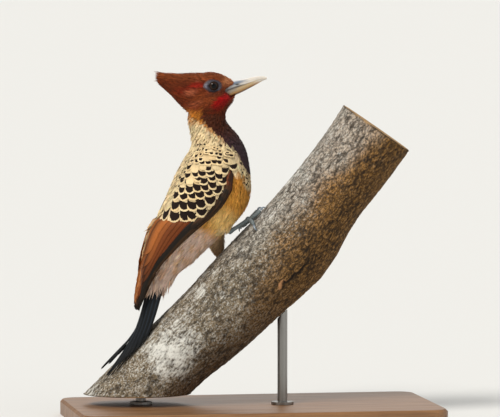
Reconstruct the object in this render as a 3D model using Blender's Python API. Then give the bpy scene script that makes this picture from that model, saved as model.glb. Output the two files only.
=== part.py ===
"""Male Kaempfer's woodpecker, life size, clinging to a cut branch on a plain display stand.

The bird faces +X with its own middle plane at y = 0, and +Z is up. Its right side is at -Y.
The branch stands in a vertical plane that is turned a little from the bird's own.
The origin is the middle of the stand's underside. Sizes below are millimetres; meshes are metres.
"""

import math

import bmesh
import bpy
import numpy as np

MM = 0.001
GAP = 0.3  # clearance between neighbouring solids
RIGHT, LEFT = -1, 1  # sign of y on each side of the bird
SIDES = {RIGHT: "right", LEFT: "left"}

# Body: back point (x, z), front point (x, z), half width, narrowing of the back against the front
BODY = {
    "bill_root": ((-12.8, 265.6), (-6.8, 259.7), 3.6, 0.0),
    "lores": ((-18.4, 269.9), (-12.8, 253.7), 7.3, 0.08),
    "face": ((-24.9, 273.3), (-17.6, 248.4), 10.8, 0.14),
    "eyes": ((-32.9, 275.0), (-20.9, 244.3), 12.9, 0.16),
    "crown": ((-40.9, 273.4), (-21.9, 241.1), 13.2, 0.16),
    "nape": ((-46.5, 263.6), (-22.1, 238.3), 12.8, 0.12),
    "collar": ((-49.7, 251.8), (-20.9, 235.6), 12.3, 0.06),
    "neck_top": ((-50.9, 241.9), (-18.2, 232.4), 12.8, 0.0),
    "neck": ((-49.7, 233.6), (-14.4, 228.5), 15.0, 0.0),
    "neck_low": ((-47.7, 225.7), (-9.8, 222.5), 18.6, 0.02),
    "shoulder": ((-48.1, 215.4), (-5.1, 213.1), 22.4, 0.05),
    "breast": ((-54.0, 204.8), (-2.6, 201.2), 24.8, 0.08),
    "chest": ((-59.6, 193.4), (-1.4, 188.6), 26.0, 0.1),
    "flank": ((-64.0, 182.2), (-1.8, 176.7), 26.2, 0.1),
    "belly": ((-67.4, 171.6), (-5.4, 166.8), 25.2, 0.08),
    "waist": ((-70.6, 162.3), (-12.0, 158.2), 23.2, 0.05),
    "thighs": ((-73.4, 153.0), (-20.9, 149.1), 21.2, 0.02),
    "rump": ((-74.6, 143.5), (-30.9, 140.0), 18.6, 0.0),
    "vent": ((-76.2, 134.1), (-40.9, 130.1), 15.4, 0.0),
    "coverts": ((-78.6, 124.6), (-50.5, 120.6), 12.2, 0.0),
    "coverts_low": ((-81.4, 115.1), (-58.9, 111.5), 9.6, 0.0),
    "tail_root": ((-83.9, 105.6), (-67.4, 103.3), 7.5, 0.0),
}
BODY_ROUNDNESS = 2.25  # superellipse power of every body section
BODY_POINTS = 18
HEAD_SPAN = ("bill_root", "neck_top")
NECK_SPAN = ("neck_top", "neck_low")
TRUNK_SPAN = ("neck_low", "vent")
VENT_SPAN = ("vent", "tail_root")

# Crest: place along x, top z, bottom z, half width
CREST = (
    (-36.0, 268.0, 252.0, 8.0),
    (-43.5, 275.0, 243.5, 11.2),
    (-50.5, 274.4, 241.5, 8.6),
    (-57.5, 274.0, 248.6, 6.0),
    (-65.0, 274.4, 257.3, 3.8),
    (-70.0, 275.0, 262.2, 2.4),
    (-73.6, 274.4, 266.0, 1.0),
)
CREST_ROUNDNESS = 1.9
CREST_POINTS = 12

# Bill outline as (x, z) points from inside the face to the chisel tip
CULMEN = ((-20.5, 264.4), (-12.8, 266.6), (-5.6, 268.7), (2.4, 270.6), (8.0, 271.2), (11.6, 270.5))
TOMIUM = ((-20.5, 261.0), (-12.8, 263.3), (-9.6, 264.3), (-1.6, 266.6), (6.4, 268.7), (11.6, 269.7))
GONYS = ((-20.5, 253.8), (-16.0, 255.6), (-9.6, 258.1), (-3.2, 261.3), (3.2, 264.7), (11.6, 269.0))
BILL_WIDTH = ((-20.5, 4.9), (-13.0, 4.7), (-5.0, 3.7), (3.0, 2.5), (8.0, 1.6), (11.6, 0.9))
BILL_STEPS = 7
BILL_POINTS = 9

EYE_CENTRE = (-32.6, 8.7, 264.2)
EYE_RADIUS = 4.3

# Folded wing: back edge (x, z), chord, half width at the fullest, at the lower edge, at the back
# edge, thickness
WING = (
    ((-41.0, 220.6), 13.2, 20.6, 16.8, 13.0, 2.0),
    ((-46.6, 215.0), 31.0, 26.0, 22.1, 12.0, 3.4),
    ((-54.9, 202.8), 33.4, 28.2, 26.3, 9.5, 4.0),
    ((-61.6, 190.9), 34.0, 29.2, 27.8, 7.0, 4.0),
    ((-68.4, 175.1), 31.0, 28.4, 27.8, 4.2, 3.6),
    ((-73.6, 164.1), 27.4, 26.9, 26.7, 2.2, 3.2),
    ((-81.0, 150.7), 24.0, 23.7, 24.0, 0.5, 2.8),
    ((-85.8, 134.9), 16.3, 19.0, 19.7, 0.5, 2.4),
    ((-89.0, 122.2), 10.4, 14.2, 14.9, 1.0, 2.2),
    ((-92.2, 106.4), 6.6, 9.6, 10.3, 2.2, 2.0),
    ((-94.2, 94.6), 5.0, 7.2, 7.6, 3.0, 1.6),
    ((-93.4, 87.8), 2.4, 5.4, 5.8, 3.8, 1.2),
)
WING_CHORD_DIRECTION = (0.94, -0.343)  # (x, z), from the back edge to the lower edge
WING_FULLEST = 0.62  # of the chord
WING_EDGE = 0.6
COVERTS_END = 5.0  # row of WING where the spotted coverts give way to the flight feathers

# Tail: dorsal line (x, z), half width, depth of its roof, roll towards the branch in degrees
TAIL = (
    ((-83.9, 105.0), 7.4, 11.5, 0.0),
    ((-87.2, 90.4), 8.2, 10.5, 1.0),
    ((-91.6, 75.6), 9.0, 9.0, 5.0),
    ((-97.2, 63.4), 9.6, 7.0, 12.0),
    ((-104.6, 50.0), 9.8, 4.0, 21.0),
    ((-114.6, 34.0), 9.6, 1.6, 28.0),
)
RECTRICES = 5  # on each side of the tail
RECTRIX_LENGTHS = (1.0, 0.97, 0.9, 0.8, 0.64)
RECTRIX_THICKNESS = 1.1
RECTRIX_STEPS = 7
RECTRIX_TAPER_FROM = 0.72  # of its length

# Legs, in the bird's own frame: centre line (x, y, z) and radius
THIGHS = {
    RIGHT: (
        ((-45.0, -12.0, 163.0), 11.0),
        ((-36.5, -13.5, 157.6), 10.0),
        ((-29.0, -14.0, 153.6), 7.6),
        ((-22.6, -13.6, 151.2), 4.2),
        ((-18.4, -13.0, 150.9), 2.3),
    ),
    LEFT: (
        ((-36.0, 9.0, 160.0), 11.0),
        ((-30.1, 11.4, 150.0), 9.4),
        ((-26.0, 16.4, 140.4), 7.4),
        ((-23.6, 21.4, 132.6), 5.2),
        ((-20.6, 25.4, 126.4), 2.5),
    ),
}
ANKLES = {RIGHT: (-20.6, -13.0, 149.2), LEFT: (-21.6, 27.0, 123.6)}
TARSUS_RADII = (2.1, 1.5, 1.35, 1.5, 1.8)
PAD_RADIUS = 2.5

# Branch: centre line (x, z) in its own vertical plane, and radius
PERCH_TURN = math.radians(-10.0)
PERCH_DEPTH = -5.0
PERCH = (
    ((-122.0, -15.0), 33.0),
    ((-94.7, 14.7), 31.6),
    ((-64.4, 47.6), 30.6),
    ((-30.0, 77.9), 32.8),
    ((2.9, 111.4), 34.4),
    ((31.7, 140.0), 35.2),
    ((54.9, 172.1), 31.2),
    ((79.2, 203.9), 31.4),
    ((98.0, 231.0), 32.0),
)
PERCH_POINTS = 22
PERCH_STEPS = 18
PERCH_ROW_LENGTH = 41.0
PERCH_FOOT_HEIGHT = 20.0  # height of its level lower cut

# Feet: place on the branch (row of PERCH, degrees round it from the top, towards the far side)
FOOT_PLACES = {RIGHT: (4.72, -9.0), LEFT: (4.14, 52.0)}
# Toes: (mm along the branch, degrees outwards round it) from the pad's middle to the claw's tip
TOES = {
    "inner": ((1.5, -1.0), (7.0, -5.0), (13.0, -7.0), (19.5, -7.0)),
    "middle": ((1.5, 1.0), (8.5, 5.5), (15.5, 8.0), (22.5, 8.0)),
    "outer": ((0.5, 1.5), (1.5, 9.5), (1.0, 19.0), (-1.0, 30.0)),
    "hind": ((-1.5, 0.0), (-5.0, -3.5), (-8.5, -6.5), (-13.5, -8.0)),
}
TOE_RADII = (1.5, 1.35, 1.45, 1.15)
TOE_SHARE = 0.68  # of the path; the claw takes the rest
CLAW_RADIUS = 0.95
CLAW_ARCH = 1.7

# Stand
BASE_LENGTH, BASE_DEPTH, BASE_HEIGHT = 290.0, 150.0, 12.0
BASE_CORNER, BASE_CHAMFER = 14.0, 2.0
ROD_RADIUS, ROD_FLANGE_RADIUS, ROD_FLANGE_HEIGHT = 4.0, 9.0, 2.0
ROD_PLACES = {"low": -88.0, "high": 24.0}  # along x in the branch's plane
ROD_POINTS = 16

PAINTS = {
    "feather_rufous": ((0.20, 0.045, 0.018), 0.8, 0.0),
    "feather_cream": ((0.72, 0.50, 0.24), 0.8, 0.0),
    "feather_buff": ((0.58, 0.33, 0.12), 0.8, 0.0),
    "feather_pinkish": ((0.36, 0.22, 0.16), 0.8, 0.0),
    "feather_chestnut": ((0.38, 0.15, 0.06), 0.75, 0.0),
    "feather_black": ((0.012, 0.011, 0.012), 0.6, 0.0),
    "bill_ivory": ((0.78, 0.72, 0.58), 0.35, 0.0),
    "eye_brown": ((0.05, 0.02, 0.012), 0.05, 0.0),
    "foot_grey": ((0.20, 0.23, 0.22), 0.55, 0.0),
    "claw_horn": ((0.30, 0.33, 0.36), 0.3, 0.0),
    "bark": ((0.20, 0.16, 0.12), 0.9, 0.0),
    "stand_oak": ((0.40, 0.25, 0.13), 0.5, 0.0),
    "stand_steel": ((0.30, 0.29, 0.28), 0.35, 1.0),
}


# ---------------------------------------------------------------- shapes

def smooth(rows, at):
    """Catmull-Rom value of evenly spaced rows at a fractional row number."""
    rows = np.asarray(rows, float)
    last = len(rows) - 1
    row = min(int(at), last - 1)
    u = at - row
    a, b, c, d = (rows[min(max(row + k, 0), last)] for k in (-1, 0, 1, 2))
    return 0.5 * (2 * b + (c - a) * u + (2 * a - 5 * b + 4 * c - d) * u**2
                  + (3 * b - a - 3 * c + d) * u**3)


def flat_rows(table):
    """A table whose rows hold nested tuples, as rows of plain numbers."""
    return np.array([np.hstack([np.ravel(cell) for cell in row]) for row in table])


BODY_ROWS = flat_rows(BODY.values())
WING_ROWS = flat_rows(WING)
PERCH_ROWS = flat_rows(PERCH)
TAIL_ROWS = flat_rows(TAIL)


def unit(vector):
    vector = np.asarray(vector, float)
    return vector / np.linalg.norm(vector)


def power(value, exponent):
    return math.copysign(abs(value) ** exponent, value)


def oval(points, roundness):
    """Unit superellipse as (across, up) pairs, starting at the top."""
    turns = (2 * math.pi * k / points for k in range(points))
    return [(power(math.sin(t), 2 / roundness), power(math.cos(t), 2 / roundness)) for t in turns]


def material(name):
    made = bpy.data.materials.get(name) or bpy.data.materials.new(name)
    colour, roughness, metallic = PAINTS[name.rsplit("__", 1)[0]]
    made.use_nodes = True
    shader = made.node_tree.nodes["Principled BSDF"]
    shader.inputs["Base Color"].default_value = (*colour, 1.0)
    shader.inputs["Roughness"].default_value = roughness
    shader.inputs["Metallic"].default_value = metallic
    made.diffuse_color = (*colour, 1.0)
    return made


def skin(name, rings, paint, sharp=50, grow=0.0):
    """One closed solid over a row of rings, each a list of (x, y, z) in millimetres.

    With grow its faces move outwards by that much, which makes a cutter of it.
    """
    shape = bmesh.new()
    loops = [[shape.verts.new(np.asarray(point) * MM) for point in ring] for ring in rings]
    for low, high in zip(loops, loops[1:]):
        for k in range(len(low)):
            after = (k + 1) % len(low)
            shape.faces.new((low[k], low[after], high[after]))
            shape.faces.new((low[k], high[after], high[k]))
    shape.faces.new(loops[0])
    shape.faces.new(loops[-1])
    bmesh.ops.recalc_face_normals(shape, faces=shape.faces)
    steps = [point.normal * min(point.calc_shell_factor(), 2.0) * grow * MM for point in shape.verts]
    for point, step in zip(shape.verts, steps):
        point.co += step
    mesh = bpy.data.meshes.new(name)
    shape.to_mesh(mesh)
    shape.free()
    mesh.shade_smooth()
    mesh.set_sharp_from_angle(angle=math.radians(sharp))
    made = bpy.data.objects.new(name, mesh)
    bpy.context.scene.collection.objects.link(made)
    if paint:
        mesh.materials.append(material(f"{paint}__{name}"))
    else:
        made.hide_render = True
        made.display_type = "WIRE"
    return made


def cut(target, *cutters):
    for cutter in cutters:
        boolean = target.modifiers.new(cutter.name, "BOOLEAN")
        boolean.operation = "DIFFERENCE"
        boolean.solver = "EXACT"
        boolean.object = cutter


def join(target, *members):
    """Union with the manifold solver, because the exact one drops toes that nearly touch."""
    for member in members:
        boolean = target.modifiers.new(member.name, "BOOLEAN")
        boolean.operation = "UNION"
        boolean.solver = "MANIFOLD"
        boolean.object = member


def tube_rings(centres, radii, points, ends=0.35):
    """Rings along a bent round bar whose two ends are drawn in by a small dome."""
    centres = np.asarray(centres, float)
    tangents = [unit(centres[min(k + 1, len(centres) - 1)] - centres[max(k - 1, 0)])
                for k in range(len(centres))]
    across = unit(np.cross(tangents[0], (0.31, 0.83, 0.46)))
    rings = []
    for centre, radius, tangent in zip(centres, radii, tangents):
        across = unit(across - tangent * np.dot(across, tangent))
        upward = np.cross(tangent, across)
        turns = (2 * math.pi * k / points for k in range(points))
        rings.append([centre + radius * (math.cos(t) * across + math.sin(t) * upward) for t in turns])
    first = [centres[0] + (np.asarray(p) - centres[0]) * 0.55 - tangents[0] * radii[0] * ends
             for p in rings[0]]
    last = [centres[-1] + (np.asarray(p) - centres[-1]) * 0.55 + tangents[-1] * radii[-1] * ends
            for p in rings[-1]]
    return [first, *rings, last]


# ---------------------------------------------------------------- body

def body_ring(at, shift=0.0):
    """The body's section at a fractional row, moved along the body by shift."""
    back_x, back_z, front_x, front_z, width, narrowing = smooth(BODY_ROWS, at)
    back, front = np.array((back_x, 0, back_z)), np.array((front_x, 0, front_z))
    centre, up = (back + front) / 2, unit(back - front)
    half = np.linalg.norm(back - front) / 2
    onward = np.array((-up[2], 0.0, up[0]))  # from the bill towards the tail
    ring = []
    for side, rise in oval(BODY_POINTS, BODY_ROUNDNESS):
        spread = width * (1 - narrowing * rise)
        ring.append(centre + up * rise * half + np.array((0, side * spread, 0)) + onward * shift)
    return ring


def body_rings(first, last, step=0.5):
    names = list(BODY)
    start, stop = names.index(first), names.index(last)
    count = round((stop - start) / step)
    places = [start + (stop - start) * k / count for k in range(count + 1)]
    shifts = [GAP / 2] + [0.0] * (count - 1) + [-GAP / 2]
    return [body_ring(at, shift) for at, shift in zip(places, shifts)]


def crest_rings(points=CREST_POINTS):
    rings = []
    steps = 2 * (len(CREST) - 1)
    for k in range(steps + 1):
        x, top, bottom, width = smooth(CREST, k / 2)
        rings.append([(x, side * width, (top + bottom) / 2 + rise * (top - bottom) / 2)
                      for side, rise in oval(points, CREST_ROUNDNESS)])
    return rings


def along(line, x):
    """Height of a sparse (x, z) line at x, smoothed over its points."""
    line = np.asarray(line, float)
    row = np.interp(x, line[:, 0], np.arange(len(line)))
    return float(smooth(line[:, 1:], row)[0])


def bill_rings(upper):
    rings = []
    for k in range(BILL_STEPS + 1):
        x = CULMEN[0][0] + (CULMEN[-1][0] - CULMEN[0][0]) * math.sin(k / BILL_STEPS * math.pi / 2)
        lip = along(TOMIUM, x) + (GAP / 2 if upper else -GAP / 2)
        ridge = along(CULMEN if upper else GONYS, x)
        width = along(BILL_WIDTH, x)
        turns = [math.pi * n / (BILL_POINTS - 1) for n in range(BILL_POINTS)]
        rings.append([(x, power(math.cos(t), 0.9) * width, lip + (ridge - lip) * math.sin(t) ** 0.85)
                      for t in turns])
    return rings


def ball_rings(centre, radius, points=12, steps=6):
    rings = []
    for k in range(steps):
        tilt = math.pi * (k + 0.5) / steps
        turns = (2 * math.pi * n / points for n in range(points))
        rings.append([(centre[0] + radius * math.sin(tilt) * math.cos(t),
                       centre[1] - radius * math.cos(tilt),
                       centre[2] + radius * math.sin(tilt) * math.sin(t)) for t in turns])
    return rings


# ---------------------------------------------------------------- wing

def wing_ring(side, at, shift=0.0):
    """A wing's section: its outer curve from the back edge to the lower edge, then its inner one."""
    x, z, chord, full, lower, back, thickness = smooth(WING_ROWS, at)
    ahead = np.array((WING_CHORD_DIRECTION[0], 0, WING_CHORD_DIRECTION[1]))
    down = np.array((WING_CHORD_DIRECTION[1], 0, -WING_CHORD_DIRECTION[0]))
    fullest = chord * WING_FULLEST
    outer = []
    for k in range(5):
        turn = math.pi / 2 * k / 4
        outer.append((fullest * (1 - math.cos(turn)), back + (full - back) * math.sin(turn)))
    for k in (1, 2, 3):
        outer.append((fullest + (chord - fullest) * k / 3, full - (full - lower) * (k / 3) ** 2))
    outer = np.array(outer)
    slopes = np.gradient(outer, axis=0)
    normals = np.array([unit((-dy, da)) for da, dy in slopes])
    depths = [WING_EDGE + (thickness - WING_EDGE) * math.sin(math.pi * k / 7) ** 0.5 for k in range(8)]
    inner = outer - normals * np.array(depths)[:, None]
    start = np.array((x, 0.0, z)) + down * shift
    return [start + ahead * a + np.array((0, side * y, 0)) for a, y in (*outer, *inner[::-1])]


def wing_rings(side, start, stop):
    count = round((stop - start) * 2)
    places = [start + k / 2 for k in range(count + 1)]
    shifts = [GAP / 2] + [0.0] * (count - 1) + [-GAP / 2]
    return [wing_ring(side, at, shift) for at, shift in zip(places, shifts)]


# ---------------------------------------------------------------- branch

def perch_frame(at):
    """Centre, radius, length direction, upper normal and far direction of the branch at a row."""
    def centre(row):
        x, z, radius = smooth(PERCH_ROWS, row)
        turned = np.array((x * math.cos(PERCH_TURN) - PERCH_DEPTH * math.sin(PERCH_TURN),
                           x * math.sin(PERCH_TURN) + PERCH_DEPTH * math.cos(PERCH_TURN), z))
        return turned, radius

    last = len(PERCH) - 1
    middle, radius = centre(at)
    ahead = unit(centre(min(at + 0.05, last))[0] - centre(max(at - 0.05, 0))[0])
    far = np.array((-math.sin(PERCH_TURN), math.cos(PERCH_TURN), 0.0))
    return middle, radius, ahead, np.cross(ahead, far), far


def bark(at, degrees, lift=0.0):
    """A point over the branch's surface."""
    middle, radius, _, up, far = perch_frame(at)
    turn = math.radians(degrees)
    swell = 1 + 0.012 * math.cos(2 * turn + 1.3 * at) + 0.008 * math.cos(5 * turn - 2.1 * at)
    return middle + (radius * swell + lift) * (math.cos(turn) * up + math.sin(turn) * far)


def perch_rings():
    last = len(PERCH) - 1
    places = [last * k / PERCH_STEPS for k in range(PERCH_STEPS + 1)]
    return [[bark(at, 360 * n / PERCH_POINTS) for n in range(PERCH_POINTS)] for at in places]


def lifted_off_bark(point, lift):
    """The point itself, or where it rests on the branch if it would sink in."""
    rows = np.linspace(0.2, 3.0, 29)
    centres = np.array([perch_frame(at)[0] for at in rows])
    at = rows[np.argmin(np.linalg.norm(centres - point, axis=1))]
    middle, _, ahead, up, far = perch_frame(at)
    out = point - middle - ahead * np.dot(point - middle, ahead)
    degrees = math.degrees(math.atan2(np.dot(out, far), np.dot(out, up)))
    surface = bark(at, degrees, lift)
    short = np.linalg.norm(surface - middle) - np.linalg.norm(out)
    return point + unit(out) * max(short, 0.0)


def level_cut(target, height):
    """Takes away all of the mesh below a height and closes it with a flat face."""
    shape = bmesh.new()
    shape.from_mesh(target.data)
    every = shape.verts[:] + shape.edges[:] + shape.faces[:]
    opened = bmesh.ops.bisect_plane(shape, geom=every, plane_co=(0, 0, height * MM),
                                    plane_no=(0, 0, -1), clear_outer=True)
    rim = [edge for edge in opened["geom_cut"] if isinstance(edge, bmesh.types.BMEdge)]
    bmesh.ops.contextual_create(shape, geom=rim)
    bmesh.ops.recalc_face_normals(shape, faces=shape.faces)
    shape.to_mesh(target.data)
    shape.free()


# ---------------------------------------------------------------- tail, legs, stand

def tail_point(at, turn, inset):
    """A point of the tail's roof: turn runs from -90 at the right edge to 90 at the left one."""
    x, z, width, depth, roll = smooth(TAIL_ROWS, at)
    ahead = smooth(TAIL_ROWS[:, :2], min(at + 0.1, len(TAIL) - 1))
    behind = smooth(TAIL_ROWS[:, :2], max(at - 0.1, 0))
    line = unit(ahead - behind)
    under = np.array((-line[1], line[0]))  # towards the belly side
    across = (width - inset) * math.sin(turn)
    drop = depth * (1 - math.cos(turn)) + inset * math.cos(turn)
    rolled = math.radians(roll)
    y = across * math.cos(rolled) + drop * math.sin(rolled) * 0.3
    fall = drop - across * math.sin(rolled)
    point = np.array((x + under[0] * fall, y, z + under[1] * fall))
    return lifted_off_bark(point, GAP + RECTRIX_THICKNESS - inset)


def rectrix(side, number):
    """A tail feather: a bent plate over its share of the roof, narrowing to a stiff point."""
    share = math.radians(88) / RECTRICES
    span = (share * number, share * (number + 1))
    length = RECTRIX_LENGTHS[number] * (len(TAIL) - 1)
    rings = []
    for k in range(RECTRIX_STEPS + 1):
        along_it = k / RECTRIX_STEPS
        taper = min(1.0, (1.02 - along_it) / (1.02 - RECTRIX_TAPER_FROM)) ** 0.7
        half = (span[1] - span[0]) / 2 * taper - math.radians(1.4) * taper
        middle = sum(span) / 2
        turns = [middle - half, middle, middle + half]
        at = 0.03 + along_it * (length - 0.03)
        outer = [tail_point(at, side * turn, 0.0) for turn in turns]
        inner = [tail_point(at, side * turn, RECTRIX_THICKNESS) for turn in turns]
        rings.append([*outer, *inner[::-1]])
    return skin(f"tail_{SIDES[side]}_{number + 1}", rings, "feather_black", sharp=40)


def toe_point(side, place, lift):
    row, degrees = FOOT_PLACES[side]
    return bark(row + place[0] / PERCH_ROW_LENGTH, degrees + side * place[1], lift)


def toe_rings(side, name):
    """A toe's rings on the bark, and its claw's, which starts a gap further on."""
    reach = 3 * TOE_SHARE
    toe = []
    for k in range(6):
        at = reach * k / 5
        knuckle = 0.35 * math.sin(math.pi * k / 3) ** 2
        toe.append(toe_point(side, smooth(TOES[name], at), TOE_RADII[0] + GAP + knuckle))
    radii = [float(smooth(np.reshape(TOE_RADII, (-1, 1)), at)[0]) for at in np.linspace(0, 3, 6)]
    claw, sizes = [], []
    for k in range(6):
        u = k / 5
        place = smooth(TOES[name], reach + 0.24 + (3 - reach - 0.24) * u)
        lift = GAP + CLAW_RADIUS + CLAW_ARCH * math.sin(math.pi * (0.12 + 0.88 * u)) - 0.75 * u
        claw.append(toe_point(side, place, lift))
        sizes.append(CLAW_RADIUS * (1 - u) ** 0.75 + 0.12)
    return tube_rings(toe, radii, 6), tube_rings(claw, sizes, 5, ends=0.1)


def tarsus_rings(side):
    ankle = np.array(ANKLES[side])
    pad = toe_point(side, (0.0, 0.0), PAD_RADIUS + GAP)
    centres = [ankle + (pad - ankle) * k / 4 for k in range(5)]
    return tube_rings(centres, TARSUS_RADII, 8)


def build_leg(side, body_cutter, wing_cutter):
    label = SIDES[side]
    line = [row[0] for row in THIGHS[side]]
    radii = [row[1] for row in THIGHS[side]]
    places = np.linspace(0, len(line) - 1, 9)
    centres = [smooth(line, at) for at in places]
    sizes = [float(smooth(np.reshape(radii, (-1, 1)), at)[0]) for at in places]
    thigh = skin(f"thigh_{label}", tube_rings(centres, sizes, 12), "feather_buff")
    shank_cutter = skin(f"cutter_tarsus_{label}", tarsus_rings(side), None, grow=GAP)
    cut(thigh, body_cutter, wing_cutter, shank_cutter)

    foot = skin(f"foot_{label}", tarsus_rings(side), "foot_grey")
    pad = ball_rings(toe_point(side, (0.0, 0.0), PAD_RADIUS + GAP), PAD_RADIUS, 10, 6)
    members = [skin(f"guide_pad_{label}", pad, None)]
    for name in TOES:
        toe, claw = toe_rings(side, name)
        members.append(skin(f"guide_toe_{label}_{name}", toe, None))
        skin(f"claw_{label}_{name}", claw, "claw_horn")
    join(foot, *members)


def rounded_rectangle(length, depth, corner, height, points=6):
    ring = []
    for quarter in range(4):
        sign_x, sign_y = ((1, 1), (-1, 1), (-1, -1), (1, -1))[quarter]
        for k in range(points):
            turn = math.pi / 2 * (quarter + k / (points - 1))
            ring.append((sign_x * (length / 2 - corner) + corner * math.cos(turn),
                         sign_y * (depth / 2 - corner) + corner * math.sin(turn), height))
    return ring


def build_stand(perch_cutter):
    chamfered = (BASE_LENGTH - 2 * BASE_CHAMFER, BASE_DEPTH - 2 * BASE_CHAMFER, BASE_CORNER - BASE_CHAMFER)
    skin("stand_base", [
        rounded_rectangle(BASE_LENGTH, BASE_DEPTH, BASE_CORNER, 0.0),
        rounded_rectangle(BASE_LENGTH, BASE_DEPTH, BASE_CORNER, BASE_HEIGHT - BASE_CHAMFER),
        rounded_rectangle(*chamfered, BASE_HEIGHT),
    ], "stand_oak", sharp=25)
    for label, x in ROD_PLACES.items():
        foot = BASE_HEIGHT + GAP
        tops = {"low": PERCH_FOOT_HEIGHT - GAP, "high": 120.0}
        centre = (x * math.cos(PERCH_TURN) - PERCH_DEPTH * math.sin(PERCH_TURN),
                  x * math.sin(PERCH_TURN) + PERCH_DEPTH * math.cos(PERCH_TURN))
        profile = ((foot, ROD_FLANGE_RADIUS), (foot + ROD_FLANGE_HEIGHT, ROD_FLANGE_RADIUS),
                   (foot + ROD_FLANGE_HEIGHT + 0.6, ROD_RADIUS), (tops[label], ROD_RADIUS))
        turns = [2 * math.pi * k / ROD_POINTS for k in range(ROD_POINTS)]
        rings = [[(centre[0] + radius * math.cos(t), centre[1] + radius * math.sin(t), height)
                  for t in turns] for height, radius in profile]
        rod = skin(f"stand_rod_{label}", rings, "stand_steel", sharp=35)
        if label == "high":
            cut(rod, perch_cutter)


def build_bird():
    head_cutter = skin("cutter_head", body_rings(HEAD_SPAN[0], NECK_SPAN[1]), None, grow=GAP)
    body_cutter = skin("cutter_body", body_rings(TRUNK_SPAN[0], VENT_SPAN[1]), None, grow=GAP)
    last = len(WING) - 1
    wing_cutters = {side: skin(f"cutter_wing_{label}", wing_rings(side, 0, last), None, grow=GAP)
                    for side, label in SIDES.items()}

    head = skin("head", body_rings(*HEAD_SPAN), "feather_rufous")
    for upper, label in ((True, "upper"), (False, "lower")):
        skin(f"bill_{label}", bill_rings(upper), "bill_ivory", sharp=40)
        cut(head, skin(f"cutter_bill_{label}", bill_rings(upper), None, grow=GAP))
    for side, label in SIDES.items():
        centre = (EYE_CENTRE[0], side * EYE_CENTRE[1], EYE_CENTRE[2])
        skin(f"eye_{label}", ball_rings(centre, EYE_RADIUS), "eye_brown")
        cut(head, skin(f"cutter_eye_{label}", ball_rings(centre, EYE_RADIUS), None, grow=GAP))

    crest = skin("crest", crest_rings(), "feather_rufous")
    cut(crest, head_cutter)
    skin("neck", body_rings(*NECK_SPAN), "feather_cream")
    trunk = skin("trunk", body_rings(*TRUNK_SPAN), "feather_buff")
    vent = skin("vent", body_rings(*VENT_SPAN), "feather_pinkish")
    for body in (trunk, vent):
        cut(body, *wing_cutters.values())

    for side, label in SIDES.items():
        skin(f"wing_{label}_coverts", wing_rings(side, 0, COVERTS_END), "feather_cream")
        skin(f"wing_{label}_flight", wing_rings(side, COVERTS_END, last), "feather_chestnut")
        for number in range(RECTRICES):
            rectrix(side, number)
        build_leg(side, body_cutter, wing_cutters[side])


def build():
    for old in list(bpy.data.objects):
        bpy.data.objects.remove(old, do_unlink=True)
    build_bird()
    perch = skin("perch", perch_rings(), "bark")
    level_cut(perch, PERCH_FOOT_HEIGHT)
    perch_cutter = skin("cutter_perch", perch_rings(), None, grow=GAP)
    build_stand(perch_cutter)


build()
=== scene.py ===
"""Dresses the woodpecker display model: plumage over one skin, bill, eyes, feet, branch and stand.

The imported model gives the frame. Sizes below are millimetres and meshes are metres. The bird faces +X
with its middle plane at y = 0, its right side is at -Y, and +Z is up.
"""

import math

import bmesh
import bpy
import numpy as np
from bpy.props import FloatProperty, FloatVectorProperty, IntProperty, PointerProperty
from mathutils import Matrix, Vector
from mathutils.bvhtree import BVHTree
from mathutils.kdtree import KDTree


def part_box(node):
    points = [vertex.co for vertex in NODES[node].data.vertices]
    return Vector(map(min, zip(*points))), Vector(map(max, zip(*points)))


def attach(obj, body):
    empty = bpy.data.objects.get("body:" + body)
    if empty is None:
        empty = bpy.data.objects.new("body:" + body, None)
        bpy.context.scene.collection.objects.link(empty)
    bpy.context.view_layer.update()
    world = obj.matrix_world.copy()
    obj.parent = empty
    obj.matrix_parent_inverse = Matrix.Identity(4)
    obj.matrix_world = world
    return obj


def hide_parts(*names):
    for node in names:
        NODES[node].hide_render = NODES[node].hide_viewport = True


bl_info = {
    "name": "Woodpecker display model",
    "version": (1, 0, 0),
    "blender": (4, 5, 0),
    "location": "3D View > Sidebar > Woodpecker",
    "description": "Builds the plumage, bill, eyes, feet, branch and stand of a woodpecker model",
    "category": "Add Mesh",
}

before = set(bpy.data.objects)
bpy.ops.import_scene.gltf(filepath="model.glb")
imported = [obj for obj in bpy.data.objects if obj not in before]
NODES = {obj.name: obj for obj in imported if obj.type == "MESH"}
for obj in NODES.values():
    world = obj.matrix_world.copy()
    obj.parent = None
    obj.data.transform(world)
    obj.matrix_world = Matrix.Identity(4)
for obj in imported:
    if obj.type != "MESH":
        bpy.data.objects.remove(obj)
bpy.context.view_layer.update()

MM = 0.001
RIGHT, LEFT = -1, 1  # sign of y on each side of the bird
SIDES = {RIGHT: "right", LEFT: "left"}
FLESH = ["head", "crest", "neck", "trunk", "vent", "thigh_right", "thigh_left",
         "wing_right_coverts", "wing_left_coverts", "wing_right_flight", "wing_left_flight"]
BAKE_MAP = "OFBake"  # name of the unwrap for baking the colours
PATCH = 0.003  # of the unwrap, across each feather's own place on it


def shaded(colour, share):
    """A linear colour times a number."""
    return [part * share for part in colour]


def paint(red, green, blue):
    """A display colour of 0 to 255 as the linear colour that shaders work with."""
    parts = [value / 255 for value in (red, green, blue)]
    return tuple(v / 12.92 if v <= 0.04045 else ((v + 0.055) / 1.055) ** 2.4 for v in parts)


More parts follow.
